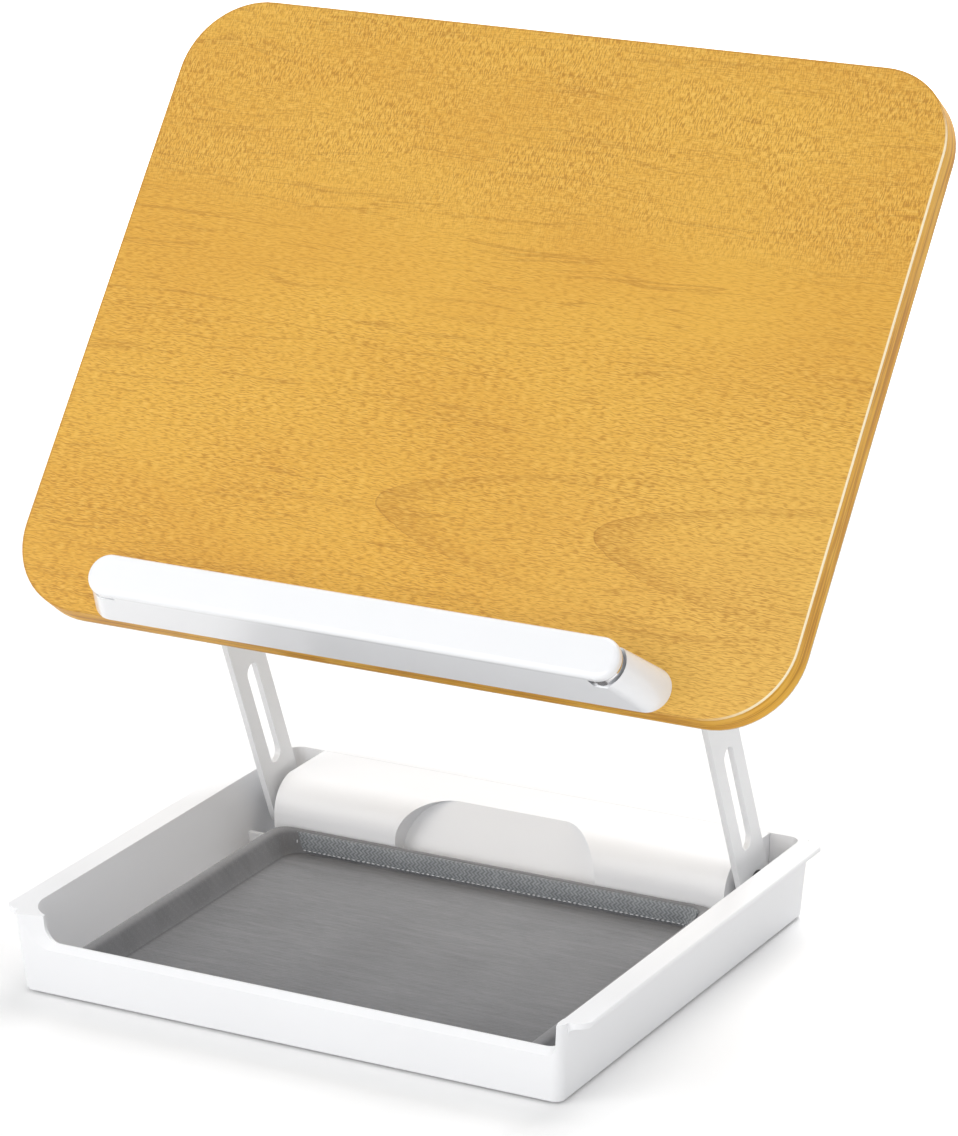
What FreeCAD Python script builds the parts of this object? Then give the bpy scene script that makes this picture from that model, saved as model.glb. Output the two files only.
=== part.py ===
import FreeCAD, Part
import math
import os
import re
import Sketcher
from FreeCAD import Placement, Rotation, Vector

# A folding reading stand: an open storage tray with a felt liner, two slotted arms on a
# friction shaft, a tilting wooden board and a ledge that carries a swing-out bar.
# Frame: +X to the reader's right, +Y away from the reader, +Z up. The origin is the middle
# of the tray on the surface that the stand rests on. Millimetres and degrees.

doc = FreeCAD.newDocument("ReadingStand")
sheet = doc.addObject("Spreadsheet::Sheet", "Sizes")

sizes = {
    # tray moulding
    "tray_width": 264.0,
    "tray_depth": 231.0,
    "tray_height": 36.0,
    "tray_wall": 3.3,
    "tray_floor": 2.4,
    "wall_draft": 4.4,
    "tray_corner": 4.5,
    "tray_inner_corner": 6.0,
    "tray_wide_corner": 18.0,
    "tray_bottom_round": 1.0,
    "front_height": 24.3,
    "front_post_left": 11.0,
    "front_post_right": 0.4,
    "front_spread_left": 11.2,
    "front_spread_right": 0.9,
    "front_bend_left": 8.0,
    "front_bend_right": 3.0,
    "lip_drop": 4.6,
    "lip_bend": 3.5,
    "flange_reach": 8.4,
    "flange_thickness": 2.6,
    "flange_end_inset": 5.2,
    "flange_front_corner": 7.6,
    "flange_back_corner": 5.0,
    "flange_edge_round": 1.1,
    "flange_root_round": 4.0,
    "liner_stop_height": 6.8,
    "liner_stop_thickness": 2.4,
    # rubber feet
    "foot_radius": 7.0,
    "foot_height": 2.2,
    "foot_lift": 1.2,
    "foot_inset": 16.0,
    # lower hinge
    "pivot_y": 87.1,
    "pivot_height": 23.7,
    "shaft_radius": 4.0,
    "shaft_overhang": 4.0,
    "running_gap": 0.05,
    "face_gap": 0.1,
    "sleeve_wall": 1.5,
    "sleeve_length": 18.0,
    "block_width": 24.0,
    "block_depth": 21.0,
    "block_above_shaft": 8.0,
    "block_inset": 8.0,
    "spacer_radius": 6.8,
    "nut_radius": 6.4,
    "nut_thickness": 3.6,
    "washer_radius": 6.6,
    "washer_thickness": 0.8,
    # hinge cover across the back of the tray
    "cover_side_gap": 16.5,
    "cover_front_y": 68.6,
    "cover_wall": 2.6,
    "cover_round": 16.0,
    "cover_seat_gap": 0.2,
    "cover_boss_radius": 4.0,
    "cover_boss_spacing": 140.0,
    "scoop_width": 103.0,
    "scoop_corner": 25.0,
    "scoop_foot_depth": 3.4,
    "scoop_top_depth": 17.4,
    # screws
    "screw_radius": 1.5,
    "screw_head_radius": 2.9,
    "screw_head_height": 1.6,
    "screw_grip": 9.0,
    # felt liner
    "liner_side_gap": 18.0,
    "liner_front_gap": 1.2,
    "liner_back_gap": 0.6,
    "liner_height": 13.0,
    "liner_wall": 5.5,
    "liner_back_wall": 2.8,
    "liner_floor": 1.6,
    "liner_corner": 7.0,
    "liner_inner_corner": 7.5,
    "liner_card": 1.2,
    "liner_card_margin": 6.0,
    "liner_band": 0.8,
    "liner_band_margin": 3.0,
    # arms
    "arm_length": 169.6,
    "arm_lean": 21.5,
    "arm_width": 25.7,
    "arm_thickness": 3.0,
    "arm_gap": 3.9,
    "arm_slot_width": 8.8,
    "arm_slot_start": 21.6,
    "arm_slot_end": 79.0,
    # board
    "board_width": 380.0,
    "board_depth": 300.0,
    "board_core": 11.3,
    "board_skin": 0.6,
    "board_band": 0.8,
    "board_corner": 37.0,
    "board_tilt": 51.86,
    "board_pivot_up": 64.9,
    "board_pivot_back": 13.9,
    # board hinge brackets
    "bracket_ear": 2.5,
    "bracket_ear_radius": 9.0,
    "bracket_plate": 2.5,
    "bracket_width": 34.0,
    "bracket_length": 46.0,
    "bracket_hole_inset": 8.0,
    "bolt_radius": 3.0,
    "bolt_head_radius": 5.2,
    "bolt_head_height": 2.6,
    # ledge
    "ledge_half_length": 141.4,
    "ledge_half_width": 10.2,
    "ledge_overhang": 0.8,
    "ledge_offset": 1.5,
    "ledge_height": 27.3,
    "ledge_top_inset": 12.1,
    "ledge_top_narrowing": 1.2,
    "ledge_top_rise": 0.7,
    "ledge_wall": 2.2,
    "ledge_cavity": 17.6,
    "ledge_socket_depth": 6.0,
    "ledge_socket_radius": 9.9,
    "ledge_nail_notch": 2.2,
    "ledge_boss_radius": 4.4,
    "ledge_boss_spacing": 105.0,
    # swing bar on the ledge
    "bar_shift": 0.6,
    "bar_half_width": 9.5,
    "bar_gap": 0.3,
    "bar_base": 1.1,
    "bar_cover": 4.3,
    "bar_cover_wall": 1.4,
    "bar_round": 2.6,
    "bar_base_inset": 0.5,
    "post_radius": 9.0,
    "post_pin_radius": 2.5,
    "post_pin_height": 2.9,
    "bar_clip_radius": 4.4,
    "bar_clip_thickness": 0.6,
}

for row, (alias, number) in enumerate(sizes.items(), start=1):
    sheet.set("A%d" % row, alias)
    sheet.set("B%d" % row, str(number))
    sheet.setAlias("B%d" % row, alias)
doc.recompute()

alias_pattern = re.compile(r"\b(" + "|".join(sorted(sizes, key=len, reverse=True)) + r")\b")


def formula(text):
    """Point every size named in a formula at its cell of the sheet."""
    return alias_pattern.sub(r"Sizes.\1", str(text))


def value(text):
    """Work a formula out as a plain number."""
    return float(sheet.evalExpression(formula(text)))


def bind(item, **formulas):
    """Bind properties of an object to formulas on the sheet."""
    for name, text in formulas.items():
        item.setExpression(name, formula(text))
    return item


def place(item, x="0", y="0", z="0"):
    """Bind the place of an object within its own sub-part."""
    item.setExpression("Placement.Base.x", formula(x))
    item.setExpression("Placement.Base.y", formula(y))
    item.setExpression("Placement.Base.z", formula(z))
    return item


def box(name, length, width, height, x, y, z):
    item = doc.addObject("Part::Box", name)
    bind(item, Length=length, Width=width, Height=height)
    return place(item, x, y, z)


quarter_turn = 90.0
along_x = Rotation(Vector(0, 1, 0), quarter_turn)
along_z = Rotation()


def cylinder(name, radius, height, x="0", y="0", z="0", turn=along_z):
    item = doc.addObject("Part::Cylinder", name)
    bind(item, Radius=radius, Height=height)
    item.Placement = Placement(Vector(), turn)
    return place(item, x, y, z)


def fuse(name, items):
    item = doc.addObject("Part::MultiFuse", name)
    item.Shapes = items
    item.Refine = True
    return item


def cut(name, base, tools):
    tool = tools[0] if len(tools) == 1 else fuse(name + "_tools", tools)
    item = doc.addObject("Part::Cut", name)
    item.Base = base
    item.Tool = tool
    item.Refine = True
    return item


def group(name, items):
    item = doc.addObject("Part::Compound", name)
    item.Links = items
    return item


def ring(name, outer, inner, height, x="0", y="0", z="0", turn=along_z):
    """A flat washer or tube whose axis starts at x, y, z."""
    body = cylinder(name + "_outside", outer, height, x, y, z, turn)
    hole = cylinder(name + "_hole", inner, height, x, y, z, turn)
    return cut(name, body, [hole])


# ---- sketches ----------------------------------------------------------------------------

def plane_of(body, role):
    for feature in body.Origin.OriginFeatures:
        if feature.Role == role:
            return feature
    raise ValueError(role)


def new_sketch(body, name, role, offset="0"):
    """A sketch on one of the body's own planes, lifted along the plane's normal."""
    sketch = body.newObject("Sketcher::SketchObject", name)
    sketch.AttachmentSupport = (plane_of(body, role), [""])
    sketch.MapMode = "FlatFace"
    sketch.setExpression("AttachmentOffset.Base.z", formula(offset))
    return sketch


def measure(sketch, constraint, text):
    """Add a dimension and bind it to the sheet."""
    index = sketch.addConstraint(constraint)
    sketch.setExpression("Constraints[%d]" % index, formula(text))


start, end, centre = range(1, 4)


def line(ax, ay, bx, by):
    return Part.LineSegment(Vector(ax, ay, 0), Vector(bx, by, 0))


def rectangle(sketch, width, depth):
    """A rectangle centred on the sketch's origin."""
    half_width = value(width) / 2
    half_depth = value(depth) / 2
    corners = [(-half_width, -half_depth), (half_width, -half_depth),
               (half_width, half_depth), (-half_width, half_depth)]
    for index, corner in enumerate(corners):
        following = corners[(index + 1) % len(corners)]
        sketch.addGeometry(line(*corner, *following))
    for index in range(len(corners)):
        following = (index + 1) % len(corners)
        sketch.addConstraint(Sketcher.Constraint("Coincident", index, end, following, start))
    for index in (0, 2):
        sketch.addConstraint(Sketcher.Constraint("Horizontal", index))
    for index in (1, 3):
        sketch.addConstraint(Sketcher.Constraint("Vertical", index))
    sketch.addConstraint(Sketcher.Constraint("Symmetric", 0, start, 1, end, -1, start))
    measure(sketch, Sketcher.Constraint("DistanceX", 0, start, 0, end, 2 * half_width), width)
    measure(sketch, Sketcher.Constraint("DistanceY", 1, start, 1, end, 2 * half_depth), depth)


def circle(sketch, radius, x="0", y="0"):
    """A circle at x, y. Both places are positive or zero."""
    index = sketch.addGeometry(Part.Circle(Vector(value(x), value(y), 0), Vector(0, 0, 1), value(radius)))
    measure(sketch, Sketcher.Constraint("Radius", index, value(radius)), radius)
    for axis, text in (("DistanceX", x), ("DistanceY", y)):
        if text == "0":
            on_axis = -2 if axis == "DistanceX" else -1
            sketch.addConstraint(Sketcher.Constraint("PointOnObject", index, centre, on_axis))
        else:
            measure(sketch, Sketcher.Constraint(axis, -1, start, index, centre, value(text)), text)


def upright_slot(sketch, radius, low, high):
    """A slot along the sketch's Y axis, its two end centres at low and high."""
    size, bottom, top = value(radius), value(low), value(high)
    half_circle = math.pi
    first = sketch.addGeometry([
        Part.ArcOfCircle(Part.Circle(Vector(0, top, 0), Vector(0, 0, 1), size), 0, half_circle),
        line(-size, top, -size, bottom),
        Part.ArcOfCircle(Part.Circle(Vector(0, bottom, 0), Vector(0, 0, 1), size),
                         half_circle, 2 * half_circle),
        line(size, bottom, size, top),
    ])[0]
    upper, left, lower, right = range(first, first + 4)
    for one, one_end, other, other_end in ((upper, end, left, start), (left, end, lower, start),
                                           (lower, end, right, start), (right, end, upper, start)):
        sketch.addConstraint(Sketcher.Constraint("Tangent", one, one_end, other, other_end))
    sketch.addConstraint(Sketcher.Constraint("Vertical", left))
    sketch.addConstraint(Sketcher.Constraint("PointOnObject", upper, centre, -2))
    measure(sketch, Sketcher.Constraint("Radius", upper, size), radius)
    measure(sketch, Sketcher.Constraint("DistanceY", -1, start, upper, centre, top), high)
    if low == "0":
        sketch.addConstraint(Sketcher.Constraint("PointOnObject", lower, centre, -1))
    else:
        measure(sketch, Sketcher.Constraint("DistanceY", -1, start, lower, centre, bottom), low)


def pad(body, sketch, length, taper=None):
    feature = body.newObject("PartDesign::Pad", sketch.Name + "_pad")
    feature.Profile = sketch
    feature.setExpression("Length", formula(length))
    if taper:
        feature.setExpression("TaperAngle", formula(taper))
    sketch.Visibility = False
    doc.recompute()
    return feature


def pocket(body, sketch, length, reverse=False, taper=None):
    before = body.Shape.Volume
    feature = body.newObject("PartDesign::Pocket", sketch.Name + "_pocket")
    feature.Profile = sketch
    feature.Reversed = reverse
    feature.setExpression("Length", formula(length))
    if taper:
        feature.setExpression("TaperAngle", formula(taper))
    doc.recompute()
    if body.Shape.Volume >= before:
        raise ValueError(sketch.Name + " cut nothing")
    return feature


def fillet(body, name, radius, wanted):
    """Round the edges of the body's latest feature that pass the test."""
    base = body.Tip
    edges = ["Edge%d" % number for number, edge in enumerate(base.Shape.Edges, start=1) if wanted(edge)]
    if not edges:
        raise ValueError(name + " found no edges")
    feature = body.newObject("PartDesign::Fillet", name)
    feature.Base = (base, edges)
    feature.setExpression("Radius", formula(radius))
    doc.recompute()
    return feature


def middle(edge):
    return edge.valueAt((edge.FirstParameter + edge.LastParameter) / 2)


def is_steep(edge):
    """True for an edge that runs mostly up and down."""
    ends = [vertex.Point for vertex in edge.Vertexes]
    run = ends[-1] - ends[0]
    return abs(run.z) > math.hypot(run.x, run.y)


nodes = {}


def sub_part(label, item, pose=None):
    """Name a finished sub-part and stand it in its place on the object."""
    item.Label = label
    if pose is not None:
        item.Placement = pose
    nodes[label] = item
    return item


# ---- the places of the moving bodies -----------------------------------------------------

tray_bottom = "foot_lift"
tray_floor_top = "foot_lift + tray_floor"
tray_top = "foot_lift + tray_height"
top_growth = "tray_height * tan(wall_draft)"
cover_half = "(tray_width / 2 - cover_side_gap)"
arm_inner_x = "(tray_width / 2 - cover_side_gap + arm_gap)"
block_middle_x = "(tray_width / 2 - cover_side_gap - block_inset - block_width / 2)"

about_x = Vector(1, 0, 0)
lower_pivot = Vector(0, value("pivot_y"), value("pivot_height"))
arm_turn = Rotation(about_x, value("arm_lean"))
arm_pose = Placement(lower_pivot, arm_turn)
upper_pivot = arm_pose.multVec(Vector(0, 0, value("arm_length")))
board_turn = Rotation(about_x, value("board_tilt"))
# the board's own frame: X across, Y up its face, Z out of its face, from the face's bottom edge
pivot_on_board = Vector(0, value("board_pivot_up"),
                        -value("board_core + 2 * board_skin + board_pivot_back"))
board_pose = Placement(upper_pivot - board_turn.multVec(pivot_on_board), board_turn)


# ---- tray --------------------------------------------------------------------------------

def make_tray():
    """The open box of the tray, with leaning walls."""
    body = doc.addObject("PartDesign::Body", "tray_block")
    foot_print = new_sketch(body, "tray_outline", "XY_Plane", tray_bottom)
    rectangle(foot_print, "tray_width", "tray_depth")
    pad(body, foot_print, "tray_height", "wall_draft")
    fillet(body, "tray_corners", "tray_corner", is_steep)
    fillet(body, "tray_bottom_edges", "tray_bottom_round",
           lambda edge: middle(edge).z < value(tray_bottom + " + tray_floor / 2"))
    hollow = new_sketch(body, "tray_hollow", "XY_Plane", tray_top)
    rectangle(hollow, "tray_width - 2 * tray_wall + 2 * " + top_growth,
              "tray_depth - 2 * tray_wall + 2 * " + top_growth)
    pocket(body, hollow, "tray_height - tray_floor", taper="-wall_draft")
    inside = value("tray_width / 2 + " + top_growth + " - tray_wall / 2")

    def is_inner(edge):
        return is_steep(edge) and abs(middle(edge).x) < inside and middle(edge).z > value(tray_floor_top)

    def is_front_left(edge):
        return middle(edge).x < 0 and middle(edge).y < 0

    fillet(body, "tray_wide_corner_round", "tray_wide_corner",
           lambda edge: is_inner(edge) and is_front_left(edge))
    fillet(body, "tray_inner_corners", "tray_inner_corner",
           lambda edge: is_inner(edge) and not is_front_left(edge))
    return body


def make_flange(side):
    """The rim along one side wall: a rounded outer edge and a hollow curve up to the wall."""
    wall_face = value("tray_width / 2 + " + top_growth)
    outer = wall_face + value("flange_reach")
    top = value(tray_top)
    low = top - value("flange_thickness")
    edge_round = value("flange_edge_round")
    root = value("flange_root_round")
    half_length = value("tray_depth / 2 + " + top_growth + " - flange_end_inset")
    lean = math.tan(math.radians(value("wall_draft")))
    inner = wall_face - value("tray_wall / 2")
    root_x = wall_face - (top - low + root) * lean
    curve = root * (1 - math.sqrt(0.5))
    bend = edge_round * (1 - math.sqrt(0.5))
    corner = [Vector(inner, 0, top), Vector(outer - edge_round, 0, top), Vector(outer, 0, top - edge_round),
              Vector(outer, 0, low + edge_round), Vector(outer - edge_round, 0, low),
              Vector(root_x + root, 0, low), Vector(root_x, 0, low - root), Vector(inner, 0, low - root)]
    section = Part.Wire([
        Part.makeLine(corner[0], corner[1]),
        Part.Arc(corner[1], Vector(outer - bend, 0, top - bend), corner[2]).toShape(),
        Part.makeLine(corner[2], corner[3]),
        Part.Arc(corner[3], Vector(outer - bend, 0, low + bend), corner[4]).toShape(),
        Part.makeLine(corner[4], corner[5]),
        Part.Arc(corner[5], Vector(root_x + curve, 0, low - curve), corner[6]).toShape(),
        Part.makeLine(corner[6], corner[7]),
        Part.makeLine(corner[7], corner[0]),
    ])
    rail = Part.Face(section).extrude(Vector(0, 2 * half_length, 0))
    rail.translate(Vector(0, -half_length, 0))
    bounds = Part.makeBox(outer, 2 * half_length, top, Vector(0, -half_length, 0))
    for corner, direction in (("flange_front_corner", -1), ("flange_back_corner", 1)):
        ends = [edge for edge in bounds.Edges if is_steep(edge) and middle(edge).x > wall_face
                and direction * middle(edge).y > 0]
        bounds = bounds.makeFillet(value(corner), ends)
    rail = rail.common(bounds)
    if side:
        rail = rail.mirror(Vector(), Vector(1, 0, 0))
    item = doc.addObject("Part::Feature", "flange_left" if side else "flange_right")
    item.Shape = rail
    return item


def front_cut_side(y, low, half, bend, direction):
    """Points down one side of the low front: its top, and the start, middle and end of its bend."""
    top = value(tray_top)
    lean = math.tan(math.radians(value("wall_draft")))
    diagonal = bend * (1 - math.sqrt(0.5))
    foot = half - (top - low - bend) * lean
    return [Vector(direction * (half + top * lean), y, 2 * top),
            Vector(direction * foot, y, low + bend),
            Vector(direction * (foot - diagonal), y, low + diagonal),
            Vector(direction * (foot - bend), y, low)]


def front_cut_wire(y, low, left, right):
    """The outline of the low front at one depth. Left and right give a half width and a bend."""
    left_side = front_cut_side(y, low, *left, -1)
    right_side = front_cut_side(y, low, *right, 1)
    return Part.Wire([
        Part.makeLine(left_side[0], left_side[1]),
        Part.Arc(*left_side[1:]).toShape(),
        Part.makeLine(left_side[3], right_side[3]),
        Part.Arc(*right_side[:0:-1]).toShape(),
        Part.makeLine(right_side[1], right_side[0]),
        Part.makeLine(right_side[0], left_side[0]),
    ])


def make_front_cut():
    """The tool that lowers the tray's front and slopes the lip down and outwards."""
    wall = value("tray_wall")
    front_face = -value("tray_depth / 2 + " + top_growth)
    inner_face = front_face + wall
    corner_y = inner_face + value("tray_inner_corner + tray_wall")
    half = value("tray_width / 2 + " + top_growth + " - tray_wall")
    low = value("foot_lift + front_height")
    drop = value("lip_drop")
    inner, outer = [], []
    for side in ("left", "right"):
        half_width = half - value("front_post_" + side)
        bend = value("front_bend_" + side)
        inner.append((half_width, bend))
        outer.append((half_width + 2 * value("front_spread_" + side), bend + 2 * value("lip_bend")))
    behind = front_cut_wire(corner_y, low, *inner)
    middle_wire = front_cut_wire(inner_face, low, *inner)
    ahead = front_cut_wire(front_face - wall, low - 2 * drop, *outer)
    straight = Part.makeLoft([behind, middle_wire], True, True)
    flare = Part.makeLoft([middle_wire, ahead], True, True)
    item = doc.addObject("Part::Feature", "front_cut")
    item.Shape = straight.fuse(flare)
    return item


def make_liner_stop(side):
    """A low rib beside the hinge cover that keeps the liner from sliding back."""
    start_x = "-(tray_width / 2 - tray_wall / 2)" if side else cover_half + " + face_gap"
    return box("liner_stop_left" if side else "liner_stop_right",
               "cover_side_gap - tray_wall / 2 - face_gap", "liner_stop_thickness",
               "liner_stop_height", start_x, "cover_front_y - liner_back_gap", tray_floor_top)


def screw_places(kind):
    """Where the screws come up through the tray's floor."""
    if kind == "block":
        return [(side + block_middle_x, "pivot_y + " + step + "block_depth * 0.32")
                for side in ("-", "") for step in ("-", "")]
    return [(side + "cover_boss_spacing / 2", "tray_depth / 2 - tray_wall - cover_boss_radius - 2.5")
            for side in ("-", "")]


def make_screw(name, x, y):
    """A countersunk screw that comes up through the tray's floor."""
    head = doc.addObject("Part::Cone", name + "_head")
    bind(head, Radius1="screw_head_radius", Radius2="screw_radius", Height="screw_head_height")
    place(head, x, y, tray_bottom)
    shank = cylinder(name + "_shank", "screw_radius", "screw_grip - screw_head_height",
                     x, y, tray_bottom + " + screw_head_height")
    return fuse(name, [head, shank])


def foot_places():
    return [(sx + "(tray_width / 2 - foot_inset)", sy + "(tray_depth / 2 - foot_inset)")
            for sx in ("-", "") for sy in ("-", "")]


tray_screws = {kind: [make_screw("%s_screw_%d" % (kind, number), x, y)
                      for number, (x, y) in enumerate(screw_places(kind), start=1)]
               for kind in ("block", "cover")}


def make_foot(name, x, y):
    return cylinder(name, "foot_radius", "foot_height", x, y, "0")


feet = [make_foot("foot_%d" % number, x, y) for number, (x, y) in enumerate(foot_places(), start=1)]
sub_part("rubber_feet", group("feet", feet))
every_tray_screw = tray_screws["block"] + tray_screws["cover"]
tray_block = fuse("tray_whole", [make_tray()] + [maker(side) for maker in (make_flange, make_liner_stop)
                                                 for side in ("-", "")])
sub_part("tray_shell", cut("tray_cut", tray_block, [make_front_cut()] + feet + every_tray_screw))
sub_part("block_screws", group("block_screw_set", tray_screws["block"]))
sub_part("cover_screws", group("cover_screw_set", tray_screws["cover"]))


# ---- lower hinge -------------------------------------------------------------------------

def make_block(side, name):
    """A saddle on the tray's floor that holds one friction sleeve."""
    start_x = side + block_middle_x + " - block_width / 2"
    block = box(name + "_body", "block_width", "block_depth", "pivot_height + block_above_shaft - (" +
                tray_floor_top + ")", start_x, "pivot_y - block_depth / 2", tray_floor_top)
    bore = cylinder(name + "_bore", "shaft_radius + running_gap + sleeve_wall", "block_width",
                    start_x, "pivot_y", "pivot_height", along_x)
    return cut(name + "_cut", block, [bore] + tray_screws["block"])


def make_sleeve(side, name):
    return ring(name, "shaft_radius + running_gap + sleeve_wall", "shaft_radius + running_gap",
                "sleeve_length", side + block_middle_x + " - sleeve_length / 2", "pivot_y", "pivot_height",
                along_x)


sides = {"left": "-", "right": ""}
for word, sign in sides.items():
    sub_part("shaft_block_" + word, make_block(sign, "block_" + word))
sub_part("friction_sleeves", group("sleeves", [make_sleeve(sign, "sleeve_" + word)
                                               for word, sign in sides.items()]))


def cover_profile(inset):
    """The cover's end view, moved inwards by inset. It is open at the bottom."""
    front = value("cover_front_y") + inset
    top = value(tray_top) - inset
    bend = value("cover_round") - inset
    low = value(tray_floor_top) - (1.0 if inset else 0.0)
    slant = math.tan(math.radians(value("wall_draft")))
    foot = value("tray_depth / 2 - tray_wall - cover_seat_gap") - inset
    back_low = foot + (low - value(tray_bottom)) * slant
    back_top = foot + (top - value(tray_bottom)) * slant
    diagonal = bend * (1 - math.sqrt(0.5))
    return Part.Wire([
        Part.makeLine(Vector(0, front, low), Vector(0, front, top - bend)),
        Part.Arc(Vector(0, front, top - bend), Vector(0, front + diagonal, top - diagonal),
                 Vector(0, front + bend, top)).toShape(),
        Part.makeLine(Vector(0, front + bend, top), Vector(0, back_top, top)),
        Part.makeLine(Vector(0, back_top, top), Vector(0, back_low, low)),
        Part.makeLine(Vector(0, back_low, low), Vector(0, front, low)),
    ])


def scoop_tool(inset):
    """A leaning slab with rounded upper corners that hollows the finger scoop."""
    half = value("scoop_width") / 2 + inset
    bend = value("scoop_corner") + inset
    front = value("cover_front_y")
    low, high = value(tray_floor_top), value(tray_top)
    foot_y = front + value("scoop_foot_depth") + inset
    top_y = front + value("scoop_top_depth") + inset
    lean = math.atan2(top_y - foot_y, high - low)
    length = (high - low) / math.cos(lean)
    slab_thickness = 3 * bend
    slab = Part.makeBox(2 * half, slab_thickness, 2 * length, Vector(-half, -slab_thickness, -length))
    upper = [edge for edge in slab.Edges
             if middle(edge).z > 0.9 * length and abs(middle(edge).x) > 0.9 * half]
    slab = slab.makeFillet(bend, upper)
    slab.Placement = Placement(Vector(0, foot_y, low), Rotation(about_x, -math.degrees(lean)))
    return slab


def make_cover():
    """A shell over the shaft: quarter-round front, flat top, open below, with closed ends."""
    half = value(cover_half)
    wall = value("cover_wall")
    outside = Part.Face(cover_profile(0)).extrude(Vector(2 * half, 0, 0))
    outside.translate(Vector(-half, 0, 0))
    inside = Part.Face(cover_profile(wall)).extrude(Vector(2 * (half - wall), 0, 0))
    inside.translate(Vector(-half + wall, 0, 0))
    shell = outside.cut(scoop_tool(0)).cut(inside.cut(scoop_tool(wall)))
    item = doc.addObject("Part::Feature", "cover_shell")
    item.Shape = shell
    bosses = [cylinder("cover_boss_%d" % number, "cover_boss_radius",
                       "tray_height - tray_floor - cover_wall / 2", x, y, tray_floor_top)
              for number, (x, y) in enumerate(screw_places("cover"), start=1)]
    bore = cylinder("cover_bore", "shaft_radius + 1", "2 * " + cover_half + " + 2",
                    "-" + cover_half + " - 1", "pivot_y", "pivot_height", along_x)
    return cut("cover_cut", fuse("cover_body", [item] + bosses), [bore] + tray_screws["cover"])


sub_part("hinge_cover", make_cover())

arm_outer_x = arm_inner_x + " + arm_thickness"
shaft_end = arm_outer_x + " + washer_thickness + nut_thickness"


def make_shaft():
    return cylinder("shaft", "shaft_radius", "2 * (" + shaft_end + ")", "-(" + shaft_end + ")",
                    "0", "0", along_x)


def mirrored_rings(name, outer, inner, thickness, near):
    """Two equal rings about the X axis, each starting at the distance near from the middle."""
    places = ["-(" + near + ") - (" + thickness + ")", near]
    return [ring("%s_%d" % (name, number), outer, inner, thickness, x, "0", "0", along_x)
            for number, x in enumerate(places, start=1)]


shaft_pose = Placement(lower_pivot, Rotation())
sub_part("lower_shaft", group("shaft_set", [make_shaft()]), shaft_pose)
sub_part("shaft_spacers", group("spacer_set", mirrored_rings(
    "spacer", "spacer_radius", "shaft_radius", "arm_gap - 2 * face_gap", cover_half + " + 2 * face_gap")),
    shaft_pose)
sub_part("shaft_washers", group("shaft_washer_set", mirrored_rings(
    "shaft_washer", "washer_radius", "shaft_radius", "washer_thickness", arm_outer_x)), shaft_pose)


def make_nuts(name, thread, near):
    """Two nuts whose outer corners are rounded off."""
    nuts = []
    for number, (sign, x) in enumerate((("-", "-(" + near + " + nut_thickness)"), ("", near)), start=1):
        hexagon = doc.addObject("Part::Prism", "%s_hexagon_%d" % (name, number))
        hexagon.Polygon = 6
        bind(hexagon, Circumradius="nut_radius", Height="nut_thickness")
        hexagon.Placement = Placement(Vector(), along_x)
        place(hexagon, x, "0", "0")
        limit = doc.addObject("Part::Sphere", "%s_limit_%d" % (name, number))
        bind(limit, Radius="nut_radius * 0.98")
        place(limit, sign + "(" + near + " + nut_thickness * 0.3)", "0", "0")
        rounded = doc.addObject("Part::Common", "%s_rounded_%d" % (name, number))
        rounded.Base = hexagon
        rounded.Tool = limit
        hole = cylinder("%s_hole_%d" % (name, number), thread, "nut_thickness", x, "0", "0", along_x)
        nuts.append(cut("%s_%d" % (name, number), rounded, [hole]))
    return nuts


sub_part("shaft_nuts", group("shaft_nut_set", make_nuts(
    "shaft_nut", "shaft_radius", arm_outer_x + " + washer_thickness")), shaft_pose)


# ---- arms --------------------------------------------------------------------------------

def arm_face(word):
    """Where the arm's lower X face is."""
    return arm_inner_x if word == "right" else "-" + arm_inner_x + " - arm_thickness"


def make_arm(word):
    """A flat steel arm with a hole at each end and one long slot."""
    body = doc.addObject("PartDesign::Body", "arm_" + word + "_body")
    outline = new_sketch(body, "arm_outline_" + word, "YZ_Plane", arm_face(word))
    upright_slot(outline, "arm_width / 2", "0", "arm_length")
    pad(body, outline, "arm_thickness")
    holes = new_sketch(body, "arm_holes_" + word, "YZ_Plane", arm_face(word))
    circle(holes, "shaft_radius")
    circle(holes, "bolt_radius + running_gap", "0", "arm_length")
    pocket(body, holes, "arm_thickness", reverse=True)
    slot = new_sketch(body, "arm_slot_" + word, "YZ_Plane", arm_face(word))
    upright_slot(slot, "arm_slot_width / 2", "arm_slot_start + arm_slot_width / 2",
                 "arm_slot_end - arm_slot_width / 2")
    pocket(body, slot, "arm_thickness", reverse=True)
    return body


for word in sides:
    sub_part("arm_" + word, make_arm(word), arm_pose)


# ---- liner -------------------------------------------------------------------------------

liner_front_y = "-(tray_depth / 2 - tray_wall - liner_front_gap)"
liner_back_y = "cover_front_y - liner_back_gap"
liner_length = liner_back_y + " - (" + liner_front_y + ")"
liner_middle_y = "(" + liner_back_y + " + " + liner_front_y + ") / 2"
liner_half = "(tray_width / 2 - liner_side_gap)"
liner_bottom = tray_floor_top + " + liner_card"


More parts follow.
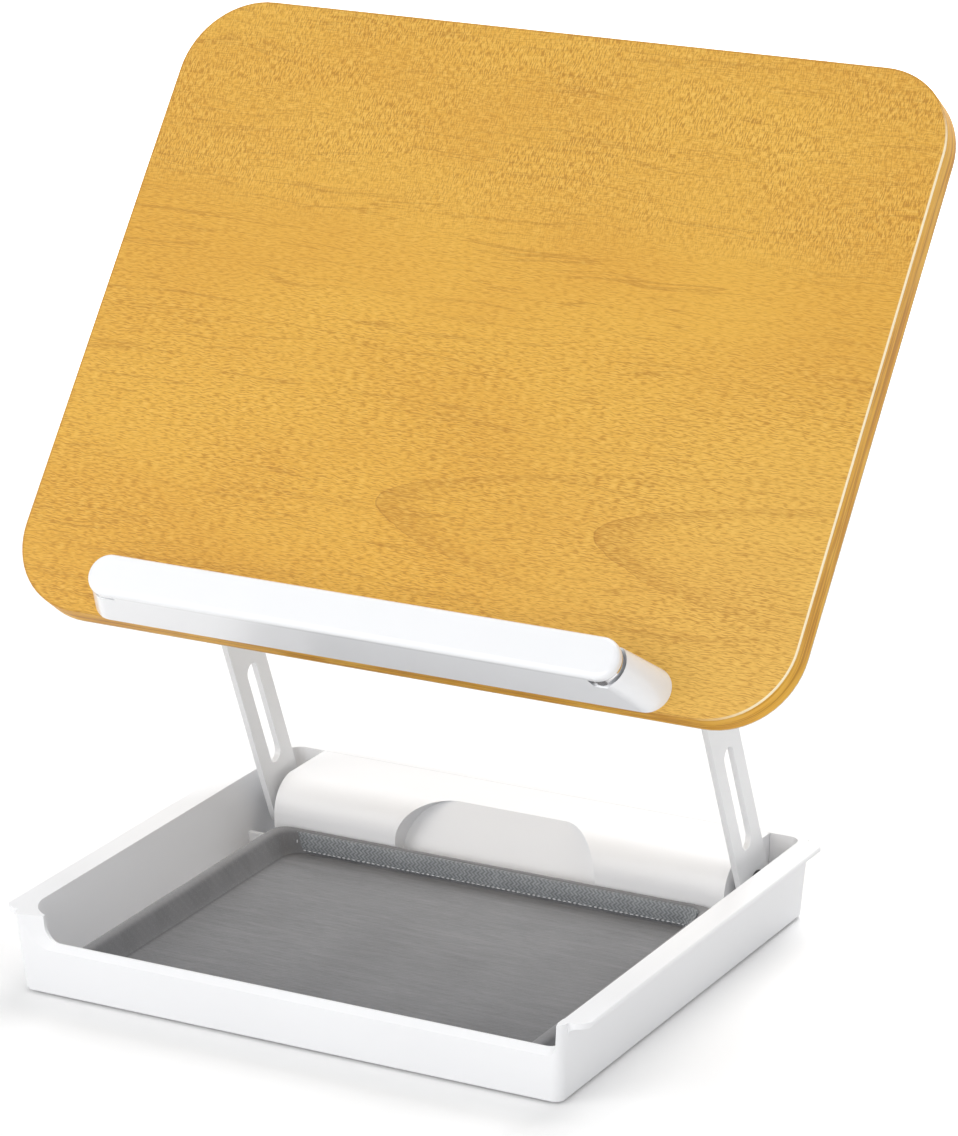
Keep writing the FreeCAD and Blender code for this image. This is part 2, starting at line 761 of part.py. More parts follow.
def make_liner():
    """A felt tray with raised walls that lies on the card."""
    body = doc.addObject("PartDesign::Body", "liner_body")
    outline = new_sketch(body, "liner_outline", "XY_Plane", liner_bottom)
    rectangle(outline, "2 * " + liner_half, liner_length)
    outline.setExpression("AttachmentOffset.Base.y", formula(liner_middle_y))
    pad(body, outline, "liner_height")
    fillet(body, "liner_corners", "liner_corner", is_steep)
    hollow = new_sketch(body, "liner_hollow", "XY_Plane", liner_bottom + " + liner_height")
    rectangle(hollow, "2 * " + liner_half + " - 2 * liner_wall",
              liner_length + " - liner_wall - liner_back_wall")
    hollow.setExpression("AttachmentOffset.Base.y",
                         formula(liner_middle_y + " + (liner_wall - liner_back_wall) / 2"))
    pocket(body, hollow, "liner_height - liner_floor")
    above_middle = value(liner_bottom + " + liner_height / 2 + liner_floor / 4")
    fillet(body, "liner_inner_corners", "liner_inner_corner",
           lambda edge: is_steep(edge) and middle(edge).z > above_middle)
    return body


sub_part("liner_felt", make_liner())
card_half = "(" + liner_half + " - liner_card_margin)"
sub_part("liner_card", group("card_set", [box(
    "card", "2 * " + card_half, liner_length + " - 2 * liner_card_margin", "liner_card",
    "-" + card_half, liner_front_y + " + liner_card_margin", tray_floor_top)]))
band_half = "(" + liner_half + " - liner_wall - liner_inner_corner)"
sub_part("liner_back_band", group("band_set", [box(
    "band", "2 * " + band_half, "liner_band", "liner_height - liner_floor - liner_band_margin",
    "-" + band_half, liner_back_y + " - liner_back_wall - liner_band",
    liner_bottom + " + liner_floor + liner_band_margin / 2")]))


# ---- board -------------------------------------------------------------------------------

board_thickness = "board_core + 2 * board_skin"


def make_panel(name, inset, thickness, depth_below_face):
    """A rounded panel of the board in the board's own frame, with its face at the given depth."""
    body = doc.addObject("PartDesign::Body", name + "_body")
    outline = new_sketch(body, name + "_outline", "XY_Plane",
                         "-(" + depth_below_face + ") - (" + thickness + ")")
    rectangle(outline, "board_width - 2 * (" + inset + ")", "board_depth - 2 * (" + inset + ")")
    outline.setExpression("AttachmentOffset.Base.y", formula("board_depth / 2"))
    pad(body, outline, thickness)
    fillet(body, name + "_corners", "board_corner - (" + inset + ")", is_steep)
    return body


bracket_mid_x = "(" + arm_inner_x + " - face_gap - washer_thickness - bracket_width / 2)"
bracket_holes = [(sx + "(" + bracket_mid_x + " + " + dx + "(bracket_width / 2 - bracket_hole_inset))",
                  "board_pivot_up + " + dy + "(bracket_length / 2 - bracket_hole_inset)")
                 for sx in ("-", "") for dx in ("-", "") for dy in ("-", "")]
ledge_foot_up = "(ledge_half_width - ledge_overhang)"
ledge_centre_up = "(ledge_half_width - ledge_overhang + ledge_top_rise)"
ledge_boss_places = ("-ledge_boss_spacing", "0", "ledge_boss_spacing")


def make_wood_screw(name, x, y):
    """A pan-head screw driven from the board's back through the bracket."""
    back = "-(" + board_thickness + " + bracket_plate)"
    head = cylinder(name + "_head", "screw_head_radius", "screw_head_height", x, y,
                    back + " - screw_head_height")
    shank = cylinder(name + "_shank", "screw_radius", "screw_grip", x, y, back)
    return fuse(name, [head, shank])


def make_ledge_screw(name, x, y):
    """A screw sunk in the board's back that draws the ledge down."""
    back = "-(" + board_thickness + ")"
    head = cylinder(name + "_head", "screw_head_radius", "screw_head_height", x, y, back)
    shank = cylinder(name + "_shank", "screw_radius", board_thickness + " + screw_grip - screw_head_height",
                     x, y, back + " + screw_head_height")
    return fuse(name, [head, shank])


bracket_screws = [make_wood_screw("bracket_screw_%d" % number, x, y)
                  for number, (x, y) in enumerate(bracket_holes, start=1)]
ledge_screws = [make_ledge_screw("ledge_screw_%d" % number, x, ledge_centre_up)
                for number, x in enumerate(ledge_boss_places, start=1)]
board_fixings = bracket_screws + ledge_screws

face = cut("face_cut", make_panel("face", "0", "board_skin", "0"), ledge_screws)
core = cut("core_cut", make_panel("core", "board_band", "board_core", "board_skin"), board_fixings)
backing = cut("backing_cut", make_panel("backing", "0", "board_skin", "board_skin + board_core"),
              board_fixings)
band = cut("band_cut", make_panel("band_block", "0", "board_core", "board_skin"),
           [make_panel("band_hole", "board_band", "board_core", "board_skin")])
sub_part("board_face", face, board_pose)
sub_part("board_core", core, board_pose)
sub_part("board_backing", backing, board_pose)
sub_part("board_edge_band", band, board_pose)
sub_part("bracket_screws", group("bracket_screw_set", bracket_screws), board_pose)
sub_part("ledge_screws", group("ledge_screw_set", ledge_screws), board_pose)


# ---- board brackets and upper pivots -----------------------------------------------------

ear_outer_x = arm_inner_x + " - face_gap - washer_thickness"
pivot_z = "-(" + board_thickness + " + board_pivot_back)"


def make_bracket(word, sign):
    """An angle bracket: a plate on the board's back and a rounded ear for the arm's bolt."""
    plate_x = ear_outer_x + " - bracket_width" if word == "right" else "-(" + ear_outer_x + ")"
    ear_x = ear_outer_x + " - bracket_ear" if word == "right" else "-(" + ear_outer_x + ")"
    plate = box("plate_" + word, "bracket_width", "bracket_length", "bracket_plate", plate_x,
                "board_pivot_up - bracket_length / 2", "-(" + board_thickness + ") - bracket_plate")
    web = box("web_" + word, "bracket_ear", "2 * bracket_ear_radius", "board_pivot_back", ear_x,
              "board_pivot_up - bracket_ear_radius", pivot_z)
    ear = cylinder("ear_" + word, "bracket_ear_radius", "bracket_ear",
                   ear_x, "board_pivot_up", pivot_z, along_x)
    hole = cylinder("ear_hole_" + word, "bolt_radius", "bracket_ear",
                    ear_x, "board_pivot_up", pivot_z, along_x)
    screws = bracket_screws[:4] if word == "left" else bracket_screws[4:]
    return cut("bracket_" + word + "_cut", fuse("bracket_" + word + "_body", [plate, web, ear]),
               [hole] + screws)


for word, sign in sides.items():
    sub_part("board_bracket_" + word, make_bracket(word, sign), board_pose)

pivot_pose = Placement(upper_pivot, board_turn)
bolt_start = ear_outer_x + " - bracket_ear - bolt_head_height"
bolt_end = arm_outer_x + " + face_gap + washer_thickness + nut_thickness"


def make_pivot_bolt(word):
    head_x = bolt_start if word == "right" else "-(" + bolt_start + ") - bolt_head_height"
    shank_x = bolt_start if word == "right" else "-(" + bolt_end + ")"
    head = cylinder("bolt_head_" + word, "bolt_head_radius", "bolt_head_height", head_x, "0", "0", along_x)
    shank = cylinder("bolt_shank_" + word, "bolt_radius", "(" + bolt_end + ") - (" + bolt_start + ")",
                     shank_x, "0", "0", along_x)
    return fuse("pivot_bolt_" + word, [head, shank])


sub_part("pivot_bolts", group("pivot_bolt_set", [make_pivot_bolt(word) for word in sides]), pivot_pose)
sub_part("pivot_washers", group("pivot_washer_set", mirrored_rings(
    "inner_washer", "washer_radius", "bolt_radius", "washer_thickness", ear_outer_x) + mirrored_rings(
    "outer_washer", "washer_radius", "bolt_radius", "washer_thickness", arm_outer_x + " + face_gap")),
    pivot_pose)
sub_part("pivot_nuts", group("pivot_nut_set", make_nuts(
    "pivot_nut", "bolt_radius", arm_outer_x + " + face_gap + washer_thickness")), pivot_pose)


# ---- ledge -------------------------------------------------------------------------------

def stadium(half_length, half_width, x, up, z):
    """A long rounded outline with its middle at x, up and z on the board."""
    left, right = x - half_length + half_width, x + half_length - half_width
    low, high = up - half_width, up + half_width
    return Part.Wire([
        Part.makeLine(Vector(left, low, z), Vector(right, low, z)),
        Part.Arc(Vector(right, low, z), Vector(x + half_length, up, z), Vector(right, high, z)).toShape(),
        Part.makeLine(Vector(right, high, z), Vector(left, high, z)),
        Part.Arc(Vector(left, high, z), Vector(x - half_length, up, z), Vector(left, low, z)).toShape(),
    ])


def ledge_outline(height, inset=0.0):
    """The ledge's own outline at one height. It narrows and leans inwards towards the top."""
    share = height / value("ledge_height")
    return stadium(value("ledge_half_length") - share * value("ledge_top_inset") - inset,
                   value("ledge_half_width") - share * value("ledge_top_narrowing") - inset,
                   -value("ledge_offset"), value(ledge_foot_up) + share * value("ledge_top_rise"), height)


bar_half_length = "(ledge_half_length - ledge_top_inset)"
bar_middle_x = "(bar_shift - ledge_offset)"
bar_pivot_x = "(bar_shift - ledge_offset + ledge_half_length - ledge_top_inset - bar_half_width)"
bar_free_x = "(bar_shift - ledge_offset - ledge_half_length + ledge_top_inset + bar_half_width)"


def bar_outline(z, inset=0.0):
    return stadium(value(bar_half_length) - inset, value("bar_half_width") - inset, value(bar_middle_x),
                   value(ledge_centre_up), z)


def make_ledge():
    """A tapering moulding, hollow from the board side, with screw bosses inside."""
    height = value("ledge_height")
    block = Part.makeLoft([ledge_outline(0), ledge_outline(height)], True, True)
    wall = value("ledge_wall")
    depth = value("ledge_cavity")
    item = doc.addObject("Part::Feature", "ledge_shell")
    item.Shape = block.cut(Part.makeLoft([ledge_outline(0, wall), ledge_outline(depth, wall)], True, True))
    bosses = [cylinder("ledge_boss_%d" % number, "ledge_boss_radius", "ledge_cavity + ledge_wall / 2",
                       x, ledge_centre_up, "0")
              for number, x in enumerate(ledge_boss_places, start=1)]
    socket = cylinder("ledge_socket", "ledge_socket_radius", "ledge_socket_depth", bar_pivot_x,
                      ledge_centre_up, "ledge_height - ledge_socket_depth")
    notch = cylinder("ledge_nail_notch_tool", "ledge_socket_radius", "ledge_nail_notch",
                     bar_free_x, ledge_centre_up, "ledge_height - ledge_nail_notch")
    return cut("ledge_cut", fuse("ledge_block", [item] + bosses), [socket, notch] + ledge_screws)


sub_part("ledge_body", make_ledge(), board_pose)

post_base = "ledge_height - ledge_socket_depth"
bar_base_z = "ledge_height + bar_gap"
bar_cover_z = bar_base_z + " + bar_base"
pin_top = bar_cover_z + " + post_pin_height - bar_cover_wall"
barrel = cylinder("post_barrel", "post_radius", "ledge_socket_depth + bar_gap - face_gap", bar_pivot_x,
                  ledge_centre_up, post_base)
pin = cylinder("post_pin", "post_pin_radius", "(" + pin_top + ") - (" + post_base + ")",
               bar_pivot_x, ledge_centre_up, post_base)
sub_part("bar_pivot_post", fuse("pivot_post", [barrel, pin]), board_pose)
sub_part("bar_clip", ring("clip", "bar_clip_radius", "post_pin_radius", "bar_clip_thickness", bar_pivot_x,
                          ledge_centre_up, bar_cover_z + " + face_gap"), board_pose)


# ---- swing bar ---------------------------------------------------------------------------

def make_bar_cover():
    """A shallow shell with rounded top edges."""
    low = value(bar_cover_z)
    thickness = value("bar_cover")
    block = Part.Face(bar_outline(low)).extrude(Vector(0, 0, thickness))
    rim = [edge for edge in block.Edges if middle(edge).z > low + 0.9 * thickness]
    block = block.makeFillet(value("bar_round"), rim)
    wall = value("bar_cover_wall")
    hollow = Part.Face(bar_outline(low, wall)).extrude(Vector(0, 0, thickness - wall))
    upper = [edge for edge in hollow.Edges if middle(edge).z > low + 0.9 * (thickness - wall)]
    hollow = hollow.makeFillet(value("bar_round") - wall, upper)
    item = doc.addObject("Part::Feature", "bar_cover_shell")
    item.Shape = block.cut(hollow)
    return item


def make_bar_base():
    low = value(bar_base_z)
    item = doc.addObject("Part::Feature", "bar_base_plate")
    item.Shape = Part.Face(bar_outline(low, value("bar_base_inset"))).extrude(Vector(0, 0, value("bar_base")))
    hole = cylinder("bar_base_hole", "post_pin_radius + running_gap", "bar_base",
                    bar_pivot_x, ledge_centre_up, bar_base_z)
    return cut("bar_base_cut", item, [hole])


sub_part("bar_cover", group("bar_cover_set", [make_bar_cover()]), board_pose)
sub_part("bar_base", make_bar_base(), board_pose)

# ---- check and write ---------------------------------------------------------------------

doc.recompute()
for item in doc.Objects:
    if "Invalid" in item.State or "Error" in item.State:
        raise RuntimeError("%s failed: %s" % (item.Name, item.State))
os.makedirs("parts", exist_ok=True)
for label, item in nodes.items():
    shape = item.Shape
    if shape.isNull() or not shape.isValid() or not shape.Solids:
        raise RuntimeError(label + " is not a valid solid")
    shape.exportStep("parts/" + label + ".step")
    extent = shape.BoundBox
    print("%-22s %2d solids %10.1f mm3  x %7.1f %7.1f  y %7.1f %7.1f  z %7.1f %7.1f" % (
        label, len(shape.Solids), shape.Volume, extent.XMin, extent.XMax, extent.YMin, extent.YMax,
        extent.ZMin, extent.ZMax))
print("upper pivot", upper_pivot, "board origin", board_pose.Base)
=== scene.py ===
import math
import random

import bmesh
import bpy
from mathutils import Matrix, Vector, noise


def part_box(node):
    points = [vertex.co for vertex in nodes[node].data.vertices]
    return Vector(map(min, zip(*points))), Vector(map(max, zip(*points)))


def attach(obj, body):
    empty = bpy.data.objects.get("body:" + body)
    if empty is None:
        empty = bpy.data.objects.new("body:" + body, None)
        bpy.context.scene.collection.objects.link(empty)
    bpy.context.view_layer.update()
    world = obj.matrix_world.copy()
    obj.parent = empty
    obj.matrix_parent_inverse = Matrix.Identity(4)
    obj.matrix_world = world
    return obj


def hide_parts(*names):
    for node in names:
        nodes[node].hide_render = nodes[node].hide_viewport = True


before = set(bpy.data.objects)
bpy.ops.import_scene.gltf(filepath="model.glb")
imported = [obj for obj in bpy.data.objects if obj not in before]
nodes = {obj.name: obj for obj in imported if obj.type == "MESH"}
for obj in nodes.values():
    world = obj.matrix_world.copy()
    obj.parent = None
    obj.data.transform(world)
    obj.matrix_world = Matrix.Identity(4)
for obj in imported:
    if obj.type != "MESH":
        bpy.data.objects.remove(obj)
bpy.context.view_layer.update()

millimetre = 0.001
print("frame loaded:", len(nodes), "nodes")


def addObject(name, data):
    made = bpy.data.objects.new(name, data)
    bpy.context.scene.collection.objects.link(made)
    return made


def addMesh(name, build):
    mesh = bpy.data.meshes.new(name)
    build.to_mesh(mesh)
    build.free()
    return addObject(name, mesh)


# Camera: a long lens, a little above the desk and to the right of the stand.
cameraLook = {
    "place": (1.04785, -1.8138, 0.8793),
    "turn": 29.23,  # degrees to the left
    "down": 18.50,
    "roll": -0.84,
    "lens": 193.1,
    "sensor": 36.0,
    "clipEnd": 30.0,
}


def makeCamera(look):
    turn, down, roll = (math.radians(look[key]) for key in ("turn", "down", "roll"))
    level = Vector((math.cos(turn), math.sin(turn), 0))
    ahead = Vector((-math.sin(turn) * math.cos(down), math.cos(turn) * math.cos(down),
                    -math.sin(down)))
    upright = level.cross(ahead)
    right = level * math.cos(roll) + upright * math.sin(roll)
    up = upright * math.cos(roll) - level * math.sin(roll)
    lens = bpy.data.cameras.new("camera")
    lens.sensor_fit = "HORIZONTAL"
    lens.sensor_width = look["sensor"]
    lens.lens = look["lens"]
    lens.clip_end = look["clipEnd"]
    camera = addObject("camera", lens)
    axes = Matrix((right, up, -ahead)).transposed().to_4x4()
    camera.matrix_world = Matrix.Translation(look["place"]) @ axes
    bpy.context.scene.camera = camera


makeCamera(cameraLook)
print("camera placed")


class Value:  # one output socket of a shader node, ready for arithmetic
    def __init__(self, net, socket):
        self.net = net
        self.socket = socket

    def math(self, operation, *others):
        inputs = dict(enumerate((self,) + others))
        return self.net.node("ShaderNodeMath", {"operation": operation}, inputs)

    def after(self, operation, other):  # the other value stands first
        return self.net.node("ShaderNodeMath", {"operation": operation}, {0: other, 1: self})

    def __add__(self, other):
        return self.math("ADD", other)

    def __radd__(self, other):
        return self + other

    def __sub__(self, other):
        return self.math("SUBTRACT", other)

    def __rsub__(self, other):
        return self.after("SUBTRACT", other)

    def __mul__(self, other):
        return self.math("MULTIPLY", other)

    def __rmul__(self, other):
        return self * other

    def __truediv__(self, other):
        return self.math("DIVIDE", other)

    def __rtruediv__(self, other):
        return self.after("DIVIDE", other)

    def __pow__(self, other):
        return self.math("POWER", other)

    def __rpow__(self, other):
        return self.after("POWER", other)

    def __abs__(self):
        return self.math("ABSOLUTE")

    def sine(self):
        return self.math("SINE")

    def root(self):
        return self.math("SQRT")

    def fraction(self):
        return self.math("FRACT")

    def above(self, other):
        return self.math("GREATER_THAN", other)

    def larger(self, other):
        return self.math("MAXIMUM", other)

    def smaller(self, other):
        return self.math("MINIMUM", other)

    def swing(self):  # how far a noise is from its middle
        return self - 0.5

    def positive(self):  # a wave from -1 to 1 becomes one from 0 to 1
        return self * 0.5 + 0.5

    def atLeast(self, least):  # a mask from 0 to 1 starts at this value instead
        return self * (1 - least) + least

    # 0 below the first value, 1 above the second and a smooth rise between them
    def rise(self, low, high):
        return self.net.node("ShaderNodeMapRange", {"interpolation_type": "SMOOTHSTEP"},
                             {"Value": self, "From Min": low, "From Max": high})

    def fall(self, low, high):
        return 1 - self.rise(low, high)

    def parts(self):
        split = self.net.node("ShaderNodeSeparateXYZ", {}, {0: self})
        return [Value(self.net, socket) for socket in split.socket.node.outputs]


class Net:  # the nodes of one material or of the world
    def __init__(self, owner, shader, values):
        owner.use_nodes = True
        self.owner = owner
        self.tree = owner.node_tree
        self.surface = self.tree.nodes[shader]
        self.feed(self.surface, values)

    def feed(self, made, values):
        for key, given in values.items():
            if isinstance(given, Value):
                self.tree.links.new(given.socket, made.inputs[key])
            else:
                made.inputs[key].default_value = given

    def node(self, kind, settings, values, output=0):
        made = self.tree.nodes.new(kind)
        for key, setting in settings.items():
            setattr(made, key, setting)
        self.feed(made, values)
        return Value(self, made.outputs[output])

    # The surface point of the piece at rest, in metres; origin and tilt give another frame.
    def point(self, stretch=(1, 1, 1), origin=None, tilt=0.0):
        where = self.node("ShaderNodeTexCoord", {}, {}, "Object")
        if origin is not None:
            turned = (math.radians(tilt), 0, 0)
            where = self.node("ShaderNodeMapping", {"vector_type": "TEXTURE"},
                              {"Vector": where, "Location": origin, "Rotation": turned})
        return self.node("ShaderNodeVectorMath", {"operation": "MULTIPLY"},
                         {0: where, 1: tuple(stretch)})

    def join(self, x, y, z):
        return self.node("ShaderNodeCombineXYZ", {}, {0: x, 1: y, 2: z})

    def noise(self, where, size=1.0, detail=2.0, rough=0.5, swirl=0.0):
        return self.node("ShaderNodeTexNoise", {},
                         {"Vector": where, "Scale": 1 / size, "Detail": detail,
                          "Roughness": rough, "Distortion": swirl})

    # A Mix node has its colours at inputs 6 and 7, and gives their mix at output 2.
    def mix(self, factor, first, second):
        first, second = (given if isinstance(given, Value) else tuple(given) + (1.0,)
                         for given in (first, second))
        return self.node("ShaderNodeMix", {"data_type": "RGBA"},
                         {0: factor, 6: first, 7: second}, 2)

    def bump(self, height, depth, strength=1.0):
        return self.node("ShaderNodeBump", {},
                         {"Height": height, "Distance": depth, "Strength": strength})

    # 1 for what the camera, a reflection or glass sees, 0 for light that falls on things
    def seen(self):
        path = self.node("ShaderNodeLightPath", {}, {}, "Is Camera Ray")
        rays = path.socket.node.outputs
        glossy, glass = (Value(self, rays[key]) for key in ("Is Glossy Ray", "Is Transmission Ray"))
        return path.larger(glossy).larger(glass)

    def finish(self, **sockets):
        self.feed(self.surface, {key.replace("_", " "): given for key, given in sockets.items()})
        return self.owner


def newMaterial(name, values):
    return Net(bpy.data.materials.new(name), "Principled BSDF", values)


def shade(colour, share):
    return tuple(channel * share for channel in colour)


# In the looks of the finishes, lengths are in metres. A pair named from is where a mask starts
# and where it is full, and a share is how much of its colour is mixed in.

# Moulded and painted finishes: a fine skin, faint smudges and a little dust in the tone.
# Each finish below adds its own values to these or replaces them.
mouldedLook = {
    "shine": 0.5,
    "coat": 0.0,
    "coatRoughness": 0.12,
    "smudge": 0.12,
    "smudgeSize": 0.021,
    "cloudSize": 0.06,
    "cloudFrom": (0.3, 0.7),
    "variation": 0.02,
}


def mouldedFinish(name, own):
    look = {**mouldedLook, **own}
    net = newMaterial(name, {"Specular IOR Level": look["shine"], "Coat Weight": look["coat"],
                             "Coat Roughness": look["coatRoughness"]})
    where = net.point()
    cloud = net.noise(where, look["cloudSize"], detail=3.0, rough=0.55)
    smudge = net.noise(where, look["smudgeSize"], detail=4.0, rough=0.6, swirl=0.8)
    skin = net.noise(where, look["skinSize"], detail=1.0, rough=0.4)
    dusty = shade(look["colour"], 1 - look["variation"])
    return net.finish(Base_Color=net.mix(cloud.rise(*look["cloudFrom"]), dusty, look["colour"]),
                      Roughness=look["roughness"] + smudge.swing() * look["smudge"],
                      Normal=net.bump(skin, look["skinDepth"]))


# Turned, rolled or plated metal with fine lines round or along one axis, and faint stains.
metalLook = {
    "shine": 0.5,
    "stainSize": 0.008,
    "stainFrom": (0.35, 0.75),
    "stainShade": 0.86,
}


def metalFinish(name, own):
    look = {**metalLook, **own}
    net = newMaterial(name, {"Metallic": 1.0, "Specular IOR Level": look["shine"]})
    lines = net.noise(net.point(look["lines"]), detail=3.0, rough=0.6)
    stain = net.noise(net.point(), look["stainSize"], detail=3.0, rough=0.6)
    stained = shade(look["colour"], look["stainShade"])
    return net.finish(Base_Color=net.mix(stain.rise(*look["stainFrom"]), look["colour"], stained),
                      Roughness=look["roughness"] + lines.swing() * look["variation"],
                      Normal=net.bump(lines, look["depth"]))


# The board's own frame: x along it, y up its slope from the lower edge, z out of its face.
boardLook = {
    "origin": (0.0, -0.03590359, 0.14675895),
    "tilt": 51.86,
    "halfWidth": 0.190,
    "depth": 0.300,
    "corner": 0.037,
    "base": (0.760, 0.425, 0.066),
    "warm": (0.690, 0.350, 0.050),
    "line": (0.400, 0.165, 0.022),
    "gleam": (0.900, 0.610, 0.150),
    "paleCornerTone": (0.770, 0.490, 0.130),
    # The pale colour of the painted highlight along the cut edge.
    "edgeHighlight": (0.96, 0.86, 0.60),
    "shine": 0.28,
    "roughness": 0.46,
    "roughnessSwing": 0.16,
    "tone": {"size": 0.14, "from": (0.36, 0.64), "share": 0.6},
    "paleCorner": {"rightFrom": (-0.02, 0.19), "heightFrom": (0.02, 0.20), "share": 0.45},
    "driftSize": 0.13,
    "streak": {
        "length": 0.17,
        "gap": 0.0052,
        "bend": 0.02,
        "edgeFrom": (0.002, 0.022),
        "breakSize": 0.09,
        "breakFrom": (0.36, 0.62),
        "least": 0.2,
        "share": 0.40,
    },
    "arch": {
        "apex": (-0.0229, 0.0730),
        "curve": (100.0, 150.0),  # below the apex and above it
        "period": 0.1065,
        "waverSize": 0.035,
        "waverAlong": 0.005,
        "waverUp": 0.004,
        "nearFrom": (0.006, 0.050),
        "edgeStart": (0.0, 0.004),
        "edgeEnd": (0.004, 0.014),
        "edgeShare": (0.10, 0.42),  # everywhere, and what is added near the apex
        "shadowStart": (0.0, 0.01),
        "shadowEnd": (0.0, 0.30),
        "shadowShare": 0.30,
        "firstTurn": -0.5,
    },
    "dash": {
        "length": 0.0038,
        "width": 0.00050,
        "swirl": 0.25,
        "waveSize": 0.005,
        "wave": 0.0016,
        "darkFrom": (0.36, 0.50),
        "darkShare": 0.56,
        "gleamFrom": (0.52, 0.66),
        "gleamShare": 0.40,
    },
    "crossDash": {
        "length": 0.0030,
        "width": 0.00054,
        "layer": 7.0,
        "swirl": 0.2,
        "darkFrom": (0.37, 0.51),
        "darkShare": 0.66,
        "gleamFrom": (0.52, 0.64),
        "gleamShare": 0.44,
    },
    "patch": {
        "heightFrom": (0.190, 0.225),
        "bend": 0.05,
        "size": 0.055,
        "coverFrom": (0.40, 0.60),
        "least": 0.55,
        "hides": 0.7,  # how far the dashes along the grain give way to those across it
    },
    "strength": {
        "size": 0.07,
        "from": (0.34, 0.66),
        "least": 0.75,
        "calmHeight": 0.185,
        "calmFrom": (0.010, 0.045),
        "calmShare": 0.4,
    },
    # A thin dark line round the cut edge, and on the right a painted highlight of the rounded edge.
    "rim": {
        "from": (-0.0010, -0.0007),
        "darkShare": 0.35,
        "highlightShare": 0.9,
        "highlightRightFrom": (0.150, 0.185),
        "highlightTopFrom": (0.262, 0.290),
    },
    "bump": {"dash": 0.6, "cross": 0.4, "depth": 0.00007, "strength": 0.7},
}


def boardPoint(net, stretch=(1, 1, 1)):
    return net.point(stretch, boardLook["origin"], boardLook["tilt"])


# How far a point of the board lies outside its rounded outline, negative inside.
def outsideBoard(x, up):
    corner, halfDepth = boardLook["corner"], boardLook["depth"] / 2
    across = abs(x) - (boardLook["halfWidth"] - corner)
    along = abs(up - halfDepth) - (halfDepth - corner)
    beyond = (across.larger(0.0) ** 2.0 + along.larger(0.0) ** 2.0).root()
    return beyond + across.larger(along).smaller(0.0) - corner


# The plain tone of the wood, paler and less saturated towards its lower right corner.
def plainWood(net, x, up):
    tone, paleCorner = boardLook["tone"], boardLook["paleCorner"]
    cloud = net.noise(boardPoint(net, (1, 2.0, 1)), tone["size"])
    colour = net.mix(cloud.rise(*tone["from"]) * tone["share"],
                     boardLook["base"], boardLook["warm"])
    pale = x.rise(*paleCorner["rightFrom"]) * up.fall(*paleCorner["heightFrom"]) * paleCorner["share"]
    return net.mix(pale, colour, boardLook["paleCornerTone"])


# Faint broken streaks along the grain.
def streakMask(net, x, up, drift):
    look = boardLook["streak"]
    across = (up + drift * look["bend"]) / look["gap"]
    contour = net.noise(net.join(x / look["length"], across, 0.0))
    streak = abs(contour.swing()).fall(*look["edgeFrom"])
    broken = net.noise(boardPoint(net, (1, 8.0, 1)), look["breakSize"], detail=3.0, rough=0.6)
    return streak * broken.rise(*look["breakFrom"]).atLeast(look["least"]) * look["share"]


# Two nested arches of the flat-sawn figure, dark at the front edge and fading behind it.
def archMask(net, x, up):
    look = boardLook["arch"]
    apexX, apexUp = look["apex"]
    lowCurve, highCurve = look["curve"]
    waver = net.noise(boardPoint(net, (1, 3.0, 1)), look["waverSize"], detail=3.0, rough=0.55)
    waver = waver.swing()
    height = up - apexUp + waver * look["waverUp"]
    low, high = height.smaller(0.0), height.larger(0.0)
    field = (x - apexX - low * low * lowCurve - high * high * highCurve
             + waver * look["waverAlong"])
    turns = field / look["period"]
    phase = turns.fraction()
    near = abs(height).fall(*look["nearFrom"])
    edge = phase.fall(*look["edgeEnd"]) * phase.rise(*look["edgeStart"])
    shadow = phase.fall(*look["shadowEnd"]) * phase.rise(*look["shadowStart"])
    faint, strong = look["edgeShare"]
    arch = edge * (faint + near * strong) + shadow * near * look["shadowShare"]
    return arch * turns.above(look["firstTurn"])


# Where the dashes across the grain lie: in patches near the top of the board.
def crossPatches(net, up, drift):
    look = boardLook["patch"]
    cover = net.noise(boardPoint(net, (1, 1.8, 1)), look["size"]).rise(*look["coverFrom"])
    return (up + drift * look["bend"]).rise(*look["heightFrom"]) * cover.atLeast(look["least"])


# How strong the dashes along the grain are: uneven, and calmer just below those patches.
def dashStrength(net, up):
    look = boardLook["strength"]
    uneven = net.noise(boardPoint(net, (1, 2.4, 1)), look["size"]).rise(*look["from"])
    calm = 1 - abs(up - look["calmHeight"]).fall(*look["calmFrom"]) * look["calmShare"]
    return uneven.atLeast(look["least"]) * calm


